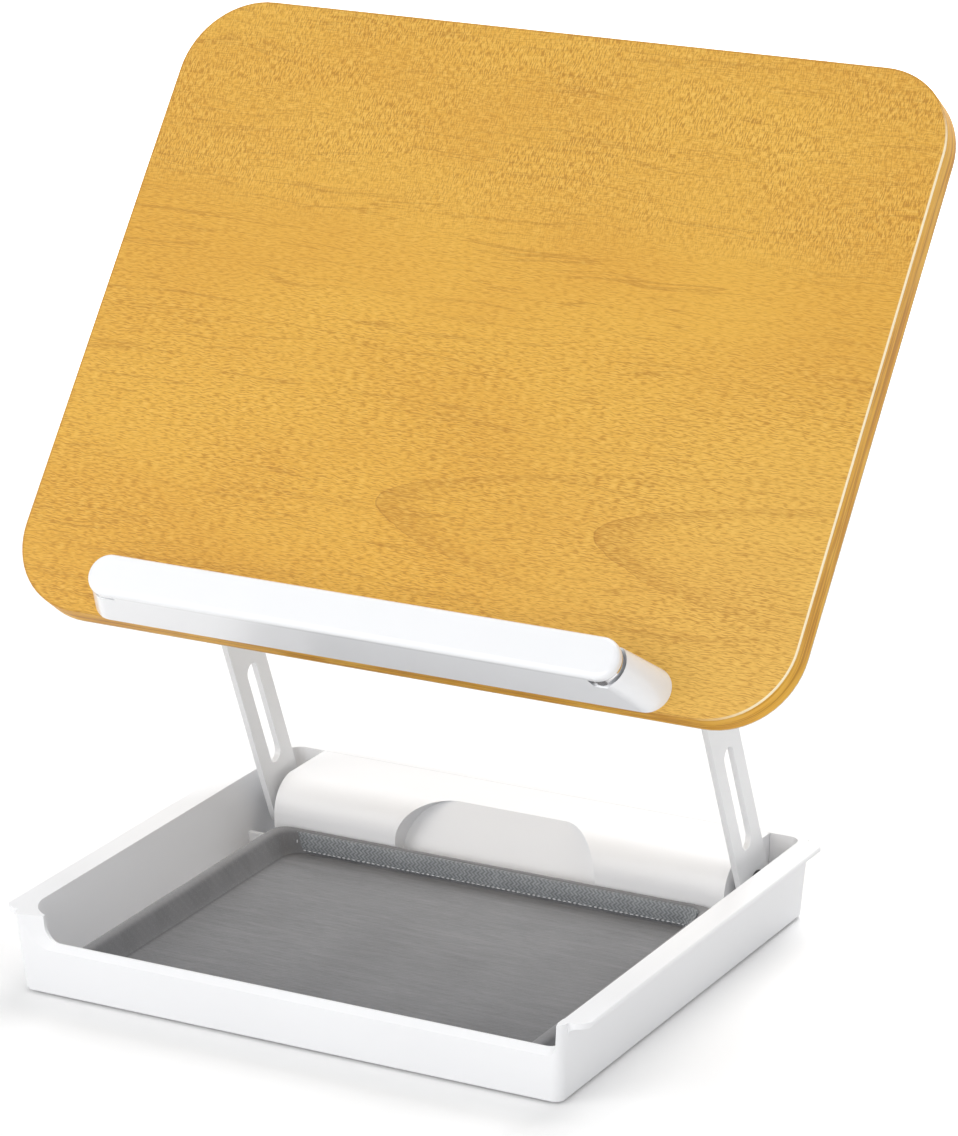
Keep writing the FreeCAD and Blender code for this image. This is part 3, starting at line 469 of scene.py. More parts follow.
def woodFace(name):
    look, dashLook, crossLook = boardLook, boardLook["dash"], boardLook["crossDash"]
    net = newMaterial(name, {"Specular IOR Level": look["shine"]})
    x, up = boardPoint(net).parts()[:2]
    drift = net.noise(boardPoint(net, (1, 3.2, 1)), look["driftSize"]).swing()
    colour = plainWood(net, x, up)
    colour = net.mix(streakMask(net, x, up, drift), colour, look["line"])
    colour = net.mix(archMask(net, x, up), colour, look["line"])
    # Short wavy dashes along the grain, and crosswise ones in patches, each with its gleam.
    wave = net.noise(boardPoint(net), dashLook["waveSize"], detail=1.0) * dashLook["wave"]
    dash = net.noise(net.join(x / dashLook["length"], (up + wave) / dashLook["width"], 0.0),
                     detail=1.0, swirl=dashLook["swirl"])
    cross = net.noise(net.join((x + wave) / crossLook["width"], up / crossLook["length"],
                               crossLook["layer"]), detail=1.0, swirl=crossLook["swirl"])
    strength = dashStrength(net, up)
    patches = crossPatches(net, up, drift)
    dark = dash.fall(*dashLook["darkFrom"]) * strength * (1 - patches * look["patch"]["hides"])
    colour = net.mix(dark * dashLook["darkShare"], colour, look["line"])
    gleam = dash.rise(*dashLook["gleamFrom"]) * strength
    colour = net.mix(gleam * dashLook["gleamShare"], colour, look["gleam"])
    dark = cross.fall(*crossLook["darkFrom"]) * patches
    colour = net.mix(dark * crossLook["darkShare"], colour, look["line"])
    gleam = cross.rise(*crossLook["gleamFrom"]) * patches
    colour = net.mix(gleam * crossLook["gleamShare"], colour, look["gleam"])
    # The cut edge shows as a thin pale line on the right, a painted highlight of its rounded edge,
    # and a thin dark line elsewhere.
    rimLook, bumpLook = look["rim"], look["bump"]
    rim = outsideBoard(x, up).rise(*rimLook["from"])
    pale = x.rise(*rimLook["highlightRightFrom"]) * up.fall(*rimLook["highlightTopFrom"])
    colour = net.mix(rim * rimLook["darkShare"], colour, look["line"])
    colour = net.mix(rim * pale * rimLook["highlightShare"], colour, look["edgeHighlight"])
    height = dash * bumpLook["dash"] + cross * patches * bumpLook["cross"]
    return net.finish(Base_Color=colour,
                      Roughness=look["roughness"] + dash.swing() * look["roughnessSwing"],
                      Normal=net.bump(height, bumpLook["depth"], bumpLook["strength"]))


# The strip round the board: grain runs along the edge, with patches and one darker seam.
edgeLook = {
    "base": (0.760, 0.395, 0.034),
    "dark": (0.530, 0.225, 0.014),
    "light": (0.820, 0.470, 0.062),
    "shine": 0.1,
    "roughness": 0.42,
    "roughnessSwing": 0.14,
    "waverSize": 0.05,
    "waver": 0.0022,
    "streakLength": 0.055,
    "streakWidth": 0.0013,
    "streakFrom": (0.36, 0.64),
    "patchLength": 0.03,
    "patchWidth": 0.004,
    "patchFrom": (0.46, 0.70),
    "patchShare": 0.7,
    "seamDepth": 0.0062,
    "seamFrom": (0.0001, 0.0007),
    "seamShade": 0.7,
    "seamShare": 0.45,
    "bump": 0.00005,
    "bumpStrength": 0.8,
}


def woodEdge(name):
    look = edgeLook
    net = newMaterial(name, {"Specular IOR Level": look["shine"]})
    x, up, out = boardPoint(net).parts()
    waver = net.noise(boardPoint(net), look["waverSize"], detail=3.0) * look["waver"]
    length, width = look["streakLength"], look["streakWidth"]
    streak = net.noise(net.join(x / length, up / length, (out + waver) / width),
                       detail=3.0, rough=0.6)
    length, width = look["patchLength"], look["patchWidth"]
    patch = net.noise(net.join(x / length, up / length, (out + waver) / width))
    seam = abs(out + look["seamDepth"] + waver * 0.5).fall(*look["seamFrom"])
    colour = net.mix(streak.rise(*look["streakFrom"]), look["dark"], look["base"])
    colour = net.mix(patch.rise(*look["patchFrom"]) * look["patchShare"], colour, look["light"])
    colour = net.mix(seam * look["seamShare"], colour, shade(look["dark"], look["seamShade"]))
    return net.finish(Base_Color=colour,
                      Roughness=look["roughness"] + streak.swing() * look["roughnessSwing"],
                      Normal=net.bump(streak, look["bump"], look["bumpStrength"]))


# Pressed fibre, drawn out along the board's layers.
coreLook = {
    "base": (0.62, 0.46, 0.29),
    "dark": (0.40, 0.27, 0.15),
    "shine": 0.3,
    "roughness": 0.85,
    "roughnessSwing": 0.1,
    "fibreSize": 0.0011,
    "fibreFrom": (0.3, 0.7),
    "bump": 0.0001,
}


def coreFinish(name):
    look = coreLook
    net = newMaterial(name, {"Specular IOR Level": look["shine"]})
    fibre = net.noise(boardPoint(net, (1, 1, 3)), look["fibreSize"], detail=3.0, rough=0.65)
    colour = net.mix(fibre.rise(*look["fibreFrom"]), look["dark"], look["base"])
    return net.finish(Base_Color=colour,
                      Roughness=look["roughness"] + fibre.swing() * look["roughnessSwing"],
                      Normal=net.bump(fibre, look["bump"]))


# The plainer wood on the board's back: long streaks and small dark flecks.
backingLook = {
    "base": (0.74, 0.64, 0.50),
    "dark": (0.61, 0.49, 0.35),
    "shine": 0.35,
    "roughness": 0.55,
    "roughnessSwing": 0.1,
    "streakSize": 0.09,
    "streakFrom": (0.35, 0.65),
    "fleckSize": 0.0028,
    "fleckFrom": (0.32, 0.46),
    "fleckShade": 0.7,
    "fleckShare": 0.35,
    "bump": 0.00005,
    "bumpStrength": 0.6,
}


def backingFinish(name):
    look = backingLook
    net = newMaterial(name, {"Specular IOR Level": look["shine"]})
    streak = net.noise(boardPoint(net, (1, 22, 1)), look["streakSize"], detail=4.0, rough=0.6)
    fleck = net.noise(boardPoint(net, (1, 4, 1)), look["fleckSize"])
    colour = net.mix(streak.rise(*look["streakFrom"]), look["dark"], look["base"])
    colour = net.mix(fleck.fall(*look["fleckFrom"]) * look["fleckShare"],
                     colour, shade(look["dark"], look["fleckShade"]))
    return net.finish(Base_Color=colour,
                      Roughness=look["roughness"] + streak.swing() * look["roughnessSwing"],
                      Normal=net.bump(fleck, look["bump"], look["bumpStrength"]))


# Brushed felt: fibres lie along x on the floor, with a fine woven ground under the nap.
feltLook = {
    "base": (0.232, 0.234, 0.242),
    "dark": (0.150, 0.151, 0.158),
    "light": (0.330, 0.330, 0.338),
    "shine": 0.15,
    "sheen": 0.20,
    "sheenRoughness": 0.5,
    "roughness": 0.92,
    "roughnessSwing": 0.1,
    "fibre": {"size": 0.011, "from": (0.26, 0.74), "share": 0.7, "lift": 0.2},
    "hair": {"size": 0.06, "from": (0.46, 0.76), "share": 0.22},
    "cloud": {"size": 0.05, "from": (0.40, 0.70), "shade": 0.80, "share": 0.30},
    "wall": {"from": (0.0065, 0.0095), "share": 0.55},  # heights at which the walls begin
    # Painted shade: darker upright streaks on the walls stand for the shade in the felt's creases.
    "creaseShade": {"size": 0.014, "from": (0.36, 0.52), "shade": 0.8, "share": 0.22},
    # Painted highlight: the top of the rolled rim is coloured lighter.
    "rim": {"from": (0.0152, 0.0174), "share": 0.40},
    "fuzz": {"size": 0.0007, "from": (0.52, 0.75), "share": 0.32},
    # Painted shade: a darker line at the cove where the floor meets the walls.
    "seam": {"height": 0.0068, "from": (0.0001, 0.0005), "shade": 0.6, "share": 0.45},
    "weave": (1400, 700),  # radians in each metre, level and upright
    "bump": {"fibre": 0.35, "weave": 0.25, "fuzz": 0.4, "depth": 0.00022, "strength": 0.8},
}


def feltFinish(name):
    look = feltLook
    net = newMaterial(name, {"Specular IOR Level": look["shine"], "Sheen Weight": look["sheen"],
                             "Sheen Roughness": look["sheenRoughness"]})
    fibreLook, hairLook, cloudLook = look["fibre"], look["hair"], look["cloud"]
    wallLook, creaseShadeLook, rimLook = look["wall"], look["creaseShade"], look["rim"]
    fuzzLook, coveShadeLook, bumpLook = look["fuzz"], look["seam"], look["bump"]
    fibre = net.noise(net.point((1, 11, 11)), fibreLook["size"], detail=4.0, rough=0.65, swirl=1.1)
    hair = net.noise(net.point((1, 18, 12)), hairLook["size"], detail=3.0, rough=0.6, swirl=0.8)
    cloud = net.noise(net.point(), cloudLook["size"], detail=3.0, rough=0.55)
    creaseShade = net.noise(net.point((1, 1, 0.2)), creaseShadeLook["size"])
    fuzz = net.noise(net.point(), fuzzLook["size"], rough=0.7)
    x, y, z = net.point().parts()
    level, upright = look["weave"]
    weave = ((x * level + z * upright).sine() * (y * level + z * upright).sine()).positive()
    wall = z.rise(*wallLook["from"])
    floor = 1 - wall
    seam = abs(z - coveShadeLook["height"]).fall(*coveShadeLook["from"])
    ground = fibre.rise(*fibreLook["from"]) * fibreLook["share"] + fibreLook["lift"]
    colour = net.mix(ground * floor + wall * wallLook["share"], look["dark"], look["base"])
    for mask, share, tone in (
        (hair.rise(*hairLook["from"]) * floor, hairLook["share"], look["light"]),
        (cloud.rise(*cloudLook["from"]), cloudLook["share"],
         shade(look["base"], cloudLook["shade"])),
        # painted shade in the wall creases
        (creaseShade.fall(*creaseShadeLook["from"]) * wall, creaseShadeLook["share"],
         shade(look["dark"], creaseShadeLook["shade"])),
        # painted highlight on the top of the rim
        (z.rise(*rimLook["from"]), rimLook["share"], look["light"]),
        (fuzz.rise(*fuzzLook["from"]), fuzzLook["share"], look["light"]),
        # painted shade in the cove between floor and walls
        (seam, coveShadeLook["share"], shade(look["dark"], coveShadeLook["shade"])),
    ):
        colour = net.mix(mask * share, colour, tone)
    height = (fibre * floor * bumpLook["fibre"] + weave * bumpLook["weave"]
              + fuzz * bumpLook["fuzz"])
    return net.finish(Base_Color=colour,
                      Roughness=look["roughness"] + fuzz.swing() * look["roughnessSwing"],
                      Normal=net.bump(height, bumpLook["depth"], bumpLook["strength"]))


# Embossed strip: short slanting ribs that change direction from row to row, with painted highlights
# on the rib crests and in blotches.
bandLook = {
    "base": (0.155, 0.166, 0.176),
    "light": (0.40, 0.42, 0.44),
    "shine": 0.5,
    "sheen": 0.15,
    "roughness": 0.50,
    "roughnessSwing": 0.2,
    "rowHeight": 0.0027,
    "ribPitch": 0.0021,
    "ribLean": 1.5,
    "ribShare": 0.55,
    "grainSize": 0.0012,
    "grainFrom": (0.45, 0.75),
    "grainShare": 0.3,
    # Painted highlight: lighter blotches over the strip, whose noise also varies the roughness.
    "highlightBlotchSize": 0.007,
    "highlightBlotchFrom": (0.50, 0.74),
    "highlightBlotchShare": 0.22,
    "ribHeight": 0.7,
    "grainHeight": 0.3,
    "bump": 0.00016,
}


def bandFinish(name):
    look = bandLook
    net = newMaterial(name, {"Specular IOR Level": look["shine"], "Sheen Weight": look["sheen"]})
    x, _, z = net.point().parts()
    lean = abs((z / look["rowHeight"]).fraction().swing()) * look["ribLean"]
    rib = ((x / look["ribPitch"] + lean) * (2 * math.pi)).sine().positive()
    highlightBlotch = net.noise(net.point(), look["highlightBlotchSize"], detail=3.0, rough=0.6)
    grain = net.noise(net.point(), look["grainSize"], rough=0.6)
    # Painted highlight: the rib crests and grain specks of the embossing are coloured lighter.
    crestHighlight = rib * look["ribShare"] + grain.rise(*look["grainFrom"]) * look["grainShare"]
    colour = net.mix(crestHighlight, look["base"], look["light"])
    # Painted highlight: lighter blotches over the embossing.
    colour = net.mix(highlightBlotch.rise(*look["highlightBlotchFrom"]) * look["highlightBlotchShare"], colour, look["light"])
    height = rib * look["ribHeight"] + grain * look["grainHeight"]
    return net.finish(Base_Color=colour,
                      Roughness=look["roughness"] + highlightBlotch.swing() * look["roughnessSwing"],
                      Normal=net.bump(height, look["bump"]))


threadLook = {
    "base": (0.78, 0.78, 0.80),
    "dark": (0.50, 0.51, 0.54),
    "shine": 0.3,
    "sheen": 0.3,
    "roughness": 0.7,
    "roughnessSwing": 0.2,
    "twistSize": 0.0004,
    "twistFrom": (0.3, 0.7),
    "bump": 0.00008,
}


def threadFinish(name):
    look = threadLook
    net = newMaterial(name, {"Specular IOR Level": look["shine"], "Sheen Weight": look["sheen"]})
    twist = net.noise(net.point((1, 1, 2.5)), look["twistSize"])
    colour = net.mix(twist.rise(*look["twistFrom"]), look["dark"], look["base"])
    return net.finish(Base_Color=colour,
                      Roughness=look["roughness"] + twist.swing() * look["roughnessSwing"],
                      Normal=net.bump(twist, look["bump"]))


cardLook = {
    "base": (0.42, 0.42, 0.41),
    "dark": (0.26, 0.26, 0.25),
    "shine": 0.2,
    "roughness": 0.9,
    "roughnessSwing": 0.1,
    "fibreSize": 0.0012,
    "fibreFrom": (0.35, 0.65),
    "bump": 0.00006,
}


def cardFinish(name):
    look = cardLook
    net = newMaterial(name, {"Specular IOR Level": look["shine"]})
    fibre = net.noise(net.point(), look["fibreSize"], detail=3.0, rough=0.7)
    colour = net.mix(fibre.rise(*look["fibreFrom"]), look["dark"], look["base"])
    return net.finish(Base_Color=colour,
                      Roughness=look["roughness"] + fibre.swing() * look["roughnessSwing"],
                      Normal=net.bump(fibre, look["bump"]))


trayPlastic = {
    "colour": (0.880, 0.885, 0.900),
    "roughness": 0.38,
    "smudge": 0.10,
    "shine": 0.45,
    "skinSize": 0.00045,
    "skinDepth": 0.000010,
    "cloudSize": 0.08,
    "variation": 0.018,
}
barPlastic = {
    "colour": (0.895, 0.905, 0.925),
    "roughness": 0.22,
    "smudge": 0.08,
    "coat": 0.25,
    "skinSize": 0.0012,
    "skinDepth": 0.000004,
    "variation": 0.012,
}
armPaint = {
    "colour": (0.850, 0.855, 0.865),
    "roughness": 0.40,
    "smudge": 0.10,
    "shine": 0.45,
    "skinSize": 0.0009,
    "skinDepth": 0.000016,
    "cloudSize": 0.03,
    "variation": 0.03,
}
nylon = {
    "colour": (0.045, 0.045, 0.048),
    "roughness": 0.55,
    "skinSize": 0.0006,
    "skinDepth": 0.00002,
}
rubber = {
    "colour": (0.040, 0.040, 0.042),
    "roughness": 0.78,
    "smudge": 0.15,
    "shine": 0.3,
    "skinSize": 0.0007,
    "skinDepth": 0.00006,
    "variation": 0.25,
}
blackOxide = {
    "colour": (0.022, 0.022, 0.024),
    "roughness": 0.36,
    "smudge": 0.15,
    "shine": 0.6,
    "skinSize": 0.0008,
    "skinDepth": 0.00002,
    "variation": 0.3,
}

# The lines of a metal are given as how many cross a metre in x, y and z.
turnedSteel = {
    "colour": (0.62, 0.62, 0.63),
    "roughness": 0.30,
    "variation": 0.16,
    "lines": (2600, 60, 60),
    "depth": 0.000010,
}
zincScrew = {
    "colour": (0.66, 0.66, 0.67),
    "roughness": 0.34,
    "variation": 0.18,
    "lines": (900, 900, 900),
    "depth": 0.000012,
}
brightMetal = {
    "colour": (0.83, 0.83, 0.84),
    "roughness": 0.13,
    "variation": 0.06,
    "lines": (300, 900, 900),
    "depth": 0.000004,
}

finishes = {
    "tray": mouldedFinish("trayPlastic", trayPlastic),
    "bar": mouldedFinish("barPlastic", barPlastic),
    "arm": mouldedFinish("armPaint", armPaint),
    "nylon": mouldedFinish("blackNylon", nylon),
    "rubber": mouldedFinish("footRubber", rubber),
    "black": mouldedFinish("blackOxide", blackOxide),
    "shaft": metalFinish("turnedSteel", turnedSteel),
    "screw": metalFinish("zincScrew", zincScrew),
    "bright": metalFinish("brightMetal", brightMetal),
    "face": woodFace("woodLaminate"),
    "edge": woodEdge("woodEdge"),
    "core": coreFinish("boardCore"),
    "backing": backingFinish("boardBacking"),
    "felt": feltFinish("brushedFelt"),
    "band": bandFinish("embossedBand"),
    "thread": threadFinish("stitchThread"),
    "card": cardFinish("greyCard"),
}

nodeFinish = {
    "tray": "tray_shell hinge_cover",
    "bar": "ledge_body bar_cover bar_base",
    "arm": "arm_left arm_right board_bracket_left board_bracket_right",
    "nylon": "shaft_block_left shaft_block_right shaft_spacers friction_sleeves",
    "rubber": "rubber_feet",
    "black": "shaft_nuts shaft_washers pivot_bolts pivot_washers pivot_nuts",
    "shaft": "lower_shaft bar_clip",
    "screw": "block_screws cover_screws bracket_screws ledge_screws",
    "bright": "bar_pivot_post",
    "face": "board_face",
    "edge": "board_edge_band",
    "core": "board_core",
    "backing": "board_backing",
    "felt": "liner_felt",
    "band": "liner_back_band",
    "card": "liner_card",
}


def dress(piece, finish):
    piece.data.materials.clear()
    piece.data.materials.append(finishes[finish])


for finish, names in nodeFinish.items():
    for name in names.split():
        dress(nodes[name], finish)
print("finishes made:", len(finishes))


# Real plastic, wood and sheet metal have small rounded edges. The widths are in millimetres.
edgeRounding = {
    "tray_shell": 0.7,
    "hinge_cover": 0.5,
    "ledge_body": 0.6,
    "arm_left": 0.4,
    "arm_right": 0.4,
    "board_face": 0.3,
    "board_backing": 0.3,
    "board_edge_band": 0.2,
    "board_bracket_left": 0.3,
    "board_bracket_right": 0.3,
    "bar_base": 0.2,
    "rubber_feet": 0.4,
}
roundingLook = {
    "weldDistance": 1e-6,
    "flatAngle": 0.3,  # faces that differ by less than this many degrees become one
    "sharpAngle": 34,  # only edges sharper than this many degrees are rounded
    "segments": 3,
}


def roundEdges(piece, width, look):
    weld = piece.modifiers.new("weld", "WELD")
    weld.merge_threshold = look["weldDistance"]
    flat = piece.modifiers.new("flat", "DECIMATE")
    flat.decimate_type = "DISSOLVE"
    flat.angle_limit = math.radians(look["flatAngle"])
    bevel = piece.modifiers.new("bevel", "BEVEL")
    bevel.width = width * millimetre
    bevel.segments = look["segments"]
    bevel.limit_method = "ANGLE"
    bevel.angle_limit = math.radians(look["sharpAngle"])
    bevel.miter_outer = "MITER_ARC"
    smooth = piece.modifiers.new("smooth", "WEIGHTED_NORMAL")
    smooth.keep_sharp = False


for name, width in edgeRounding.items():
    roundEdges(nodes[name], width, roundingLook)
print("edges rounded:", len(edgeRounding))


def newPiece(name, build, finish, body):
    piece = addMesh(name, build)
    for face in piece.data.polygons:
        face.use_smooth = True
    dress(piece, finish)
    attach(piece, body)
    return piece


# The felt liner: a soft tray with a rolled rim. Each row is (inset from the sides and front,
# inset from the back, height, corner radius) in millimetres, from the outer foot over the rim
# and down the inside to the floor. The other lengths here are in millimetres too.
linerLook = {
    "rows": (
        (0.6, 0.6, 0.0, 6.6), (0.0, 0.1, 0.9, 7.0), (0.0, 0.1, 4.0, 7.0),
        (0.0, 0.1, 7.5, 7.0), (0.05, 0.15, 10.4, 7.0), (0.35, 0.35, 11.8, 7.0),
        (1.2, 0.7, 12.6, 7.2), (2.6, 1.2, 12.95, 7.6), (3.9, 1.8, 12.9, 8.0),
        (4.9, 2.3, 12.5, 8.4), (5.6, 2.6, 11.5, 8.8), (6.4, 2.75, 9.6, 9.2),
        (7.6, 2.85, 6.8, 9.6), (8.9, 2.9, 3.9, 9.9), (9.9, 3.0, 2.1, 10.0),
        (10.3, 3.2, 1.75, 10.0), (11.2, 3.9, 1.6, 10.0),
    ),
    "acrossCount": 56,
    "alongCount": 42,
    "cornerCount": 7,
    "seed": 5,
    "wallWave": 0.30,
    "wallWaveCount": 46,  # how many noise cells cross a metre
    "wallWaveRise": 0.05,
    "wallWaveInset": 5.0,  # the wave is full from this inset inwards
    "wallWaveHeight": 1.7,  # the wave starts above this height
    "rimHeight": 11,  # above this height the rim sags
    "rimSag": 0.5,
    "floorWave": 0.16,
    "floorWaveCount": (34, 22),
    "floorLayer": 3.0,
}


# One closed ring with as many points on each side at any size: front, right, back, left.
def linerRing(low, high, radius, look):
    across, along, corner = look["acrossCount"], look["alongCount"], look["cornerCount"]
    points = []
    sides = (
        (Vector((low.x + radius, low.y)), Vector((high.x - radius, low.y)), across, -90),
        (Vector((high.x, low.y + radius)), Vector((high.x, high.y - radius)), along, 0),
        (Vector((high.x - radius, high.y)), Vector((low.x + radius, high.y)), across, 90),
        (Vector((low.x, high.y - radius)), Vector((low.x, low.y + radius)), along, 180),
    )
    for start, end, count, angle in sides:
        points += [start.lerp(end, step / count) for step in range(count)]
        outward = Vector((math.cos(math.radians(angle)), math.sin(math.radians(angle))))
        centre = end - outward * radius
        for step in range(corner):
            turn = math.radians(angle + 90 * step / corner)
            points.append(centre + Vector((math.cos(turn), math.sin(turn))) * radius)
    return points


def makeLiner(look):
    low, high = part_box("liner_felt")
    centre = Vector(((low.x + high.x) / 2, (low.y + high.y) / 2))
    build = bmesh.new()
    rings = []
    for side, back, height, radius in look["rows"]:
        inLow = Vector((low.x + side * millimetre, low.y + side * millimetre))
        inHigh = Vector((high.x - side * millimetre, high.y - back * millimetre))
        waving = min(1.0, side / look["wallWaveInset"]) if height > look["wallWaveHeight"] else 0.0
        sagging = look["rimSag"] if height > look["rimHeight"] else 0.0
        loop = []
        for place in linerRing(inLow, inHigh, radius * millimetre, look):
            spot = Vector((place.x * look["wallWaveCount"], place.y * look["wallWaveCount"],
                           look["seed"] + height * look["wallWaveRise"]))
            wave = noise.noise(spot) * look["wallWave"] * millimetre
            pull = (centre - place).normalized() * wave * waving
            loop.append(build.verts.new((place.x + pull.x, place.y + pull.y,
                                         low.z + height * millimetre - abs(wave) * sagging)))
        rings.append(loop)
    for outer, inner in zip(rings, rings[1:]):
        for step in range(len(outer)):
            after = (step + 1) % len(outer)
            build.faces.new((outer[step], outer[after], inner[after], inner[step]))
    fillFloor(build, rings[-1], look, look["floorWave"])
    fillFloor(build, rings[0], look, 0.0)
    bmesh.ops.recalc_face_normals(build, faces=build.faces)
    liner = newPiece("felt_liner", build, "felt", "tray")
    soft = liner.modifiers.new("soft", "SUBSURF")
    soft.levels = soft.render_levels = 1
    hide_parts("liner_felt")


# Rows of quads between the two long sides of a ring; the ring's own points are the outer ones.
def fillFloor(build, ring, look, wave):
    across = look["acrossCount"]
    rowCount = look["alongCount"] + 2 * look["cornerCount"]
    count = len(ring)
    right = [ring[(across + step) % count] for step in range(rowCount + 1)]
    left = [ring[-step % count] for step in range(rowCount + 1)]
    waveX, waveY = look["floorWaveCount"]
    rows = [[ring[number] for number in range(across + 1)]]
    for step in range(1, rowCount):
        row = [left[step]]
        for number in range(1, across):
            place = left[step].co.lerp(right[step].co, number / across)
            spot = Vector((place.x * waveX, place.y * waveY, look["seed"] + look["floorLayer"]))
            lift = Vector((0, 0, noise.noise(spot) * wave * millimetre))
            row.append(build.verts.new(place + lift))
        row.append(right[step])
        rows.append(row)
    rows.append([ring[(2 * across + rowCount - number) % count] for number in range(across + 1)])
    for first, second in zip(rows, rows[1:]):
        for number in range(across):
            build.faces.new((first[number], first[number + 1], second[number + 1], second[number]))


makeLiner(linerLook)


# The stitched strip along the inside of the liner's back wall, in millimetres. It turns
# forward round the liner's right corner, and leans back a little with its height.
bandShape = {
    "left": -101.6,
    "right": 107.5,  # along the path
    "cornerX": (90.6, 0.545),  # the centre at z = 0, and its change with each millimetre of z
    "cornerRadius": (10.9, -0.125),  # the same for the radius
    "bottom": 7.5,
    "top": 16.7,
    "backY": 65.3,
    "lean": 0.35,
    "thickness": 0.8,
    "endThickness": 0.45,  # the share of it that is left at the left end
    "endTaper": 40,  # the end grows to full thickness in one part of so many
    "bulge": 0.45,
    "bulgePower": 0.7,
    "wave": 0.22,
    "waveCount": (0.09, 0.2),
    "seed": 1.0,
    "lengthCount": 150,
    "heightCount": 10,
}


# The place of a point that lies so far along the strip, so high, and so far in front of its back.
def bandPlace(look, along, z, depth):
    centre, radius = (start + change * z
                      for start, change in (look["cornerX"], look["cornerRadius"]))
    turn = max(0.0, (along - centre) / radius)
    x = min(along, centre) + (radius - depth) * math.sin(turn)
    level = (z - look["bottom"]) / (look["top"] - look["bottom"])
    y = look["backY"] + look["lean"] * level - radius + (radius - depth) * math.cos(turn)
    return Vector((x, y, z))


def bandBulge(look, level):
    return look["bulge"] * math.sin(math.pi * level) ** look["bulgePower"]


def makeBand(look):
    build = bmesh.new()
    front, rear = [], []
    waveAlong, waveUp = look["waveCount"]
    last, top = look["lengthCount"], look["heightCount"]
    for column in range(last + 1):
        share = column / last
        along = look["left"] + (look["right"] - look["left"]) * share
        ends = min(1.0, share * look["endTaper"])
        thickness = look["thickness"] * (look["endThickness"] + (1 - look["endThickness"]) * ends)
        frontLine, rearLine = [], []
        for row in range(top + 1):
            level = row / top
            z = look["bottom"] + (look["top"] - look["bottom"]) * level
            wave = noise.noise(Vector((along * waveAlong, z * waveUp, look["seed"]))) * look["wave"]
            depth = thickness + (bandBulge(look, level) - wave) * ends
            frontLine.append(build.verts.new(bandPlace(look, along, z, depth) * millimetre))
            rearLine.append(build.verts.new(bandPlace(look, along, z, 0.0) * millimetre))
        front.append(frontLine)
        rear.append(rearLine)
    for column in range(last):
        for row in range(top):
            build.faces.new((front[column][row], front[column + 1][row],
                             front[column + 1][row + 1], front[column][row + 1]))
            build.faces.new((rear[column][row], rear[column][row + 1],
                             rear[column + 1][row + 1], rear[column + 1][row]))
        for row in (0, top):
            build.faces.new((front[column][row], rear[column][row],
                             rear[column + 1][row], front[column + 1][row]))
    for column in (0, last):
        for row in range(top):
            build.faces.new((front[column][row], front[column][row + 1],
                             rear[column][row + 1], rear[column][row]))
    bmesh.ops.recalc_face_normals(build, faces=build.faces)
    band = newPiece("liner_band", build, "band", "tray")
    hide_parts("liner_back_band")


makeBand(bandShape)


# White thread along the strip's foot and up its left end, in millimetres.
stitchLook = {
    "pitch": 2.6,
    "length": 1.75,
    "lengthSpread": (0.86, 1.08),
    "radius": 0.27,
    "margin": 0.75,
    "proud": 0.10,
    "bulgeShare": 0.75,
    "turnSpread": (-9, 9),  # degrees
    "aimStep": 0.5,
    "roundCount": 10,
    "lengthCount": 6,
    "seed": 11,
}


def makeStitches(look, band):
    rng = random.Random(look["seed"])
    build = bmesh.new()
    low, high = band["bottom"] + look["margin"], band["top"] - look["margin"]
    first, last = band["left"] + look["margin"], band["right"] - look["margin"]
    foot = Vector((first, low))
    for end in (Vector((last, low)), Vector((first, high))):
        span = (end - foot).length
        direction = (end - foot) / span
        for number in range(int(span / look["pitch"])):
            spot = foot + direction * look["pitch"] * (number + 0.5)
            level = (spot.y - band["bottom"]) / (band["top"] - band["bottom"])
            depth = band["thickness"] + look["proud"] + bandBulge(band, level) * look["bulgeShare"]
            middle = bandPlace(band, spot.x, spot.y, depth)
            ahead = bandPlace(band, spot.x + direction.x * look["aimStep"],
                              spot.y + direction.y * look["aimStep"], depth)
            turn = math.radians(rng.uniform(*look["turnSpread"]))
            half = look["length"] / 2 * rng.uniform(*look["lengthSpread"])
            along = (ahead - middle).to_track_quat("X", "Z").to_matrix().to_4x4()
            size = Matrix.Diagonal((half, look["radius"], look["radius"], 1))
            place = Matrix.Scale(millimetre, 4) @ Matrix.Translation(middle) \
                @ Matrix.Rotation(turn, 4, "Y") @ along @ size
            bmesh.ops.create_uvsphere(build, u_segments=look["roundCount"],
                                      v_segments=look["lengthCount"], radius=1.0, matrix=place)
    newPiece("liner_stitches", build, "thread", "tray")


makeStitches(stitchLook, bandShape)
print("liner, strip and stitches made")


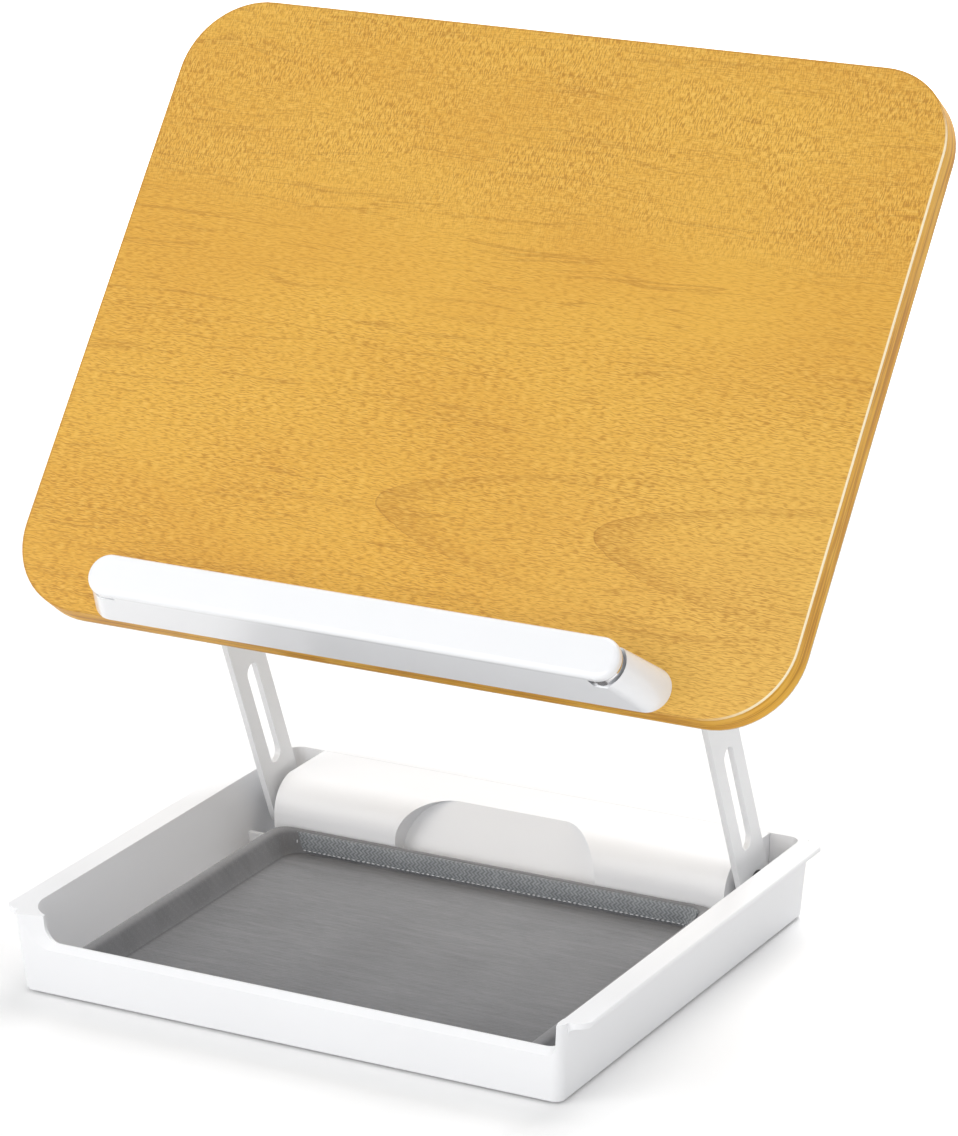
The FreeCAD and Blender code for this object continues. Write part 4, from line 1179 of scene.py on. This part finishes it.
# Stage: a plain pale floor that keeps the shadow, an even white room and four soft lamps.
stageLook = {
    "floorColour": (0.86, 0.86, 0.86),
    "floorRoughness": 0.9,
    "floorSize": 6.0,
    "whiteFrom": (0.55, 1.30),  # how far from the middle the floor turns into the white room
    "worldLight": 0.48,
    "aim": (0.0, 0.0, 0.12),
    "distance": 2.6,
}
lampLook = {  # turn from the front and height in degrees, size in metres, power in watts
    "keyLamp": {"turn": -35, "height": 24, "size": 1.6, "power": 22.0},
    "frontLamp": {"turn": 10, "height": 12, "size": 1.6, "power": 12.5},
    "sideLamp": {"turn": 65, "height": 35, "size": 1.6, "power": 8.0},
    "backLamp": {"turn": 180, "height": 52, "size": 1.8, "power": 47.0},
}
black, white = (0.0, 0.0, 0.0), (1.0, 1.0, 1.0)


def makeFloor(look):
    build = bmesh.new()
    bmesh.ops.create_grid(build, x_segments=1, y_segments=1, size=look["floorSize"])
    floor = addMesh("floor", build)
    net = newMaterial("floorPaint", {"Roughness": look["floorRoughness"],
                                     "Specular IOR Level": 0.0, "Emission Strength": 1.0})
    x, y = net.point().parts()[:2]
    far = (x * x + y * y).root().rise(*look["whiteFrom"])
    paint = net.finish(Base_Color=net.mix(net.seen(), look["floorColour"], white),
                       Emission_Color=net.mix(net.seen() * far, black, white))
    floor.data.materials.append(paint)


def makeWorld(look):
    bpy.context.scene.world = bpy.data.worlds.new("room")
    net = Net(bpy.context.scene.world, "Background", {"Color": white + (1.0,)})
    net.finish(Strength=look["worldLight"] + net.seen() * (1 - look["worldLight"]))


def makeLamp(name, own, look):
    lamp = bpy.data.lights.new(name, "AREA")
    lamp.energy = own["power"]
    lamp.size = own["size"]
    turn, height = math.radians(own["turn"]), math.radians(own["height"])
    away = Vector((math.sin(turn) * math.cos(height), -math.cos(turn) * math.cos(height),
                   math.sin(height)))
    place = Vector(look["aim"]) + away * look["distance"]
    facing = away.to_track_quat("Z", "Y").to_matrix().to_4x4()
    addObject(name, lamp).matrix_world = Matrix.Translation(place) @ facing


makeFloor(stageLook)
makeWorld(stageLook)
for name, own in lampLook.items():
    makeLamp(name, own, stageLook)
bpy.context.scene.view_settings.view_transform = "Standard"
print("stage and lights made")
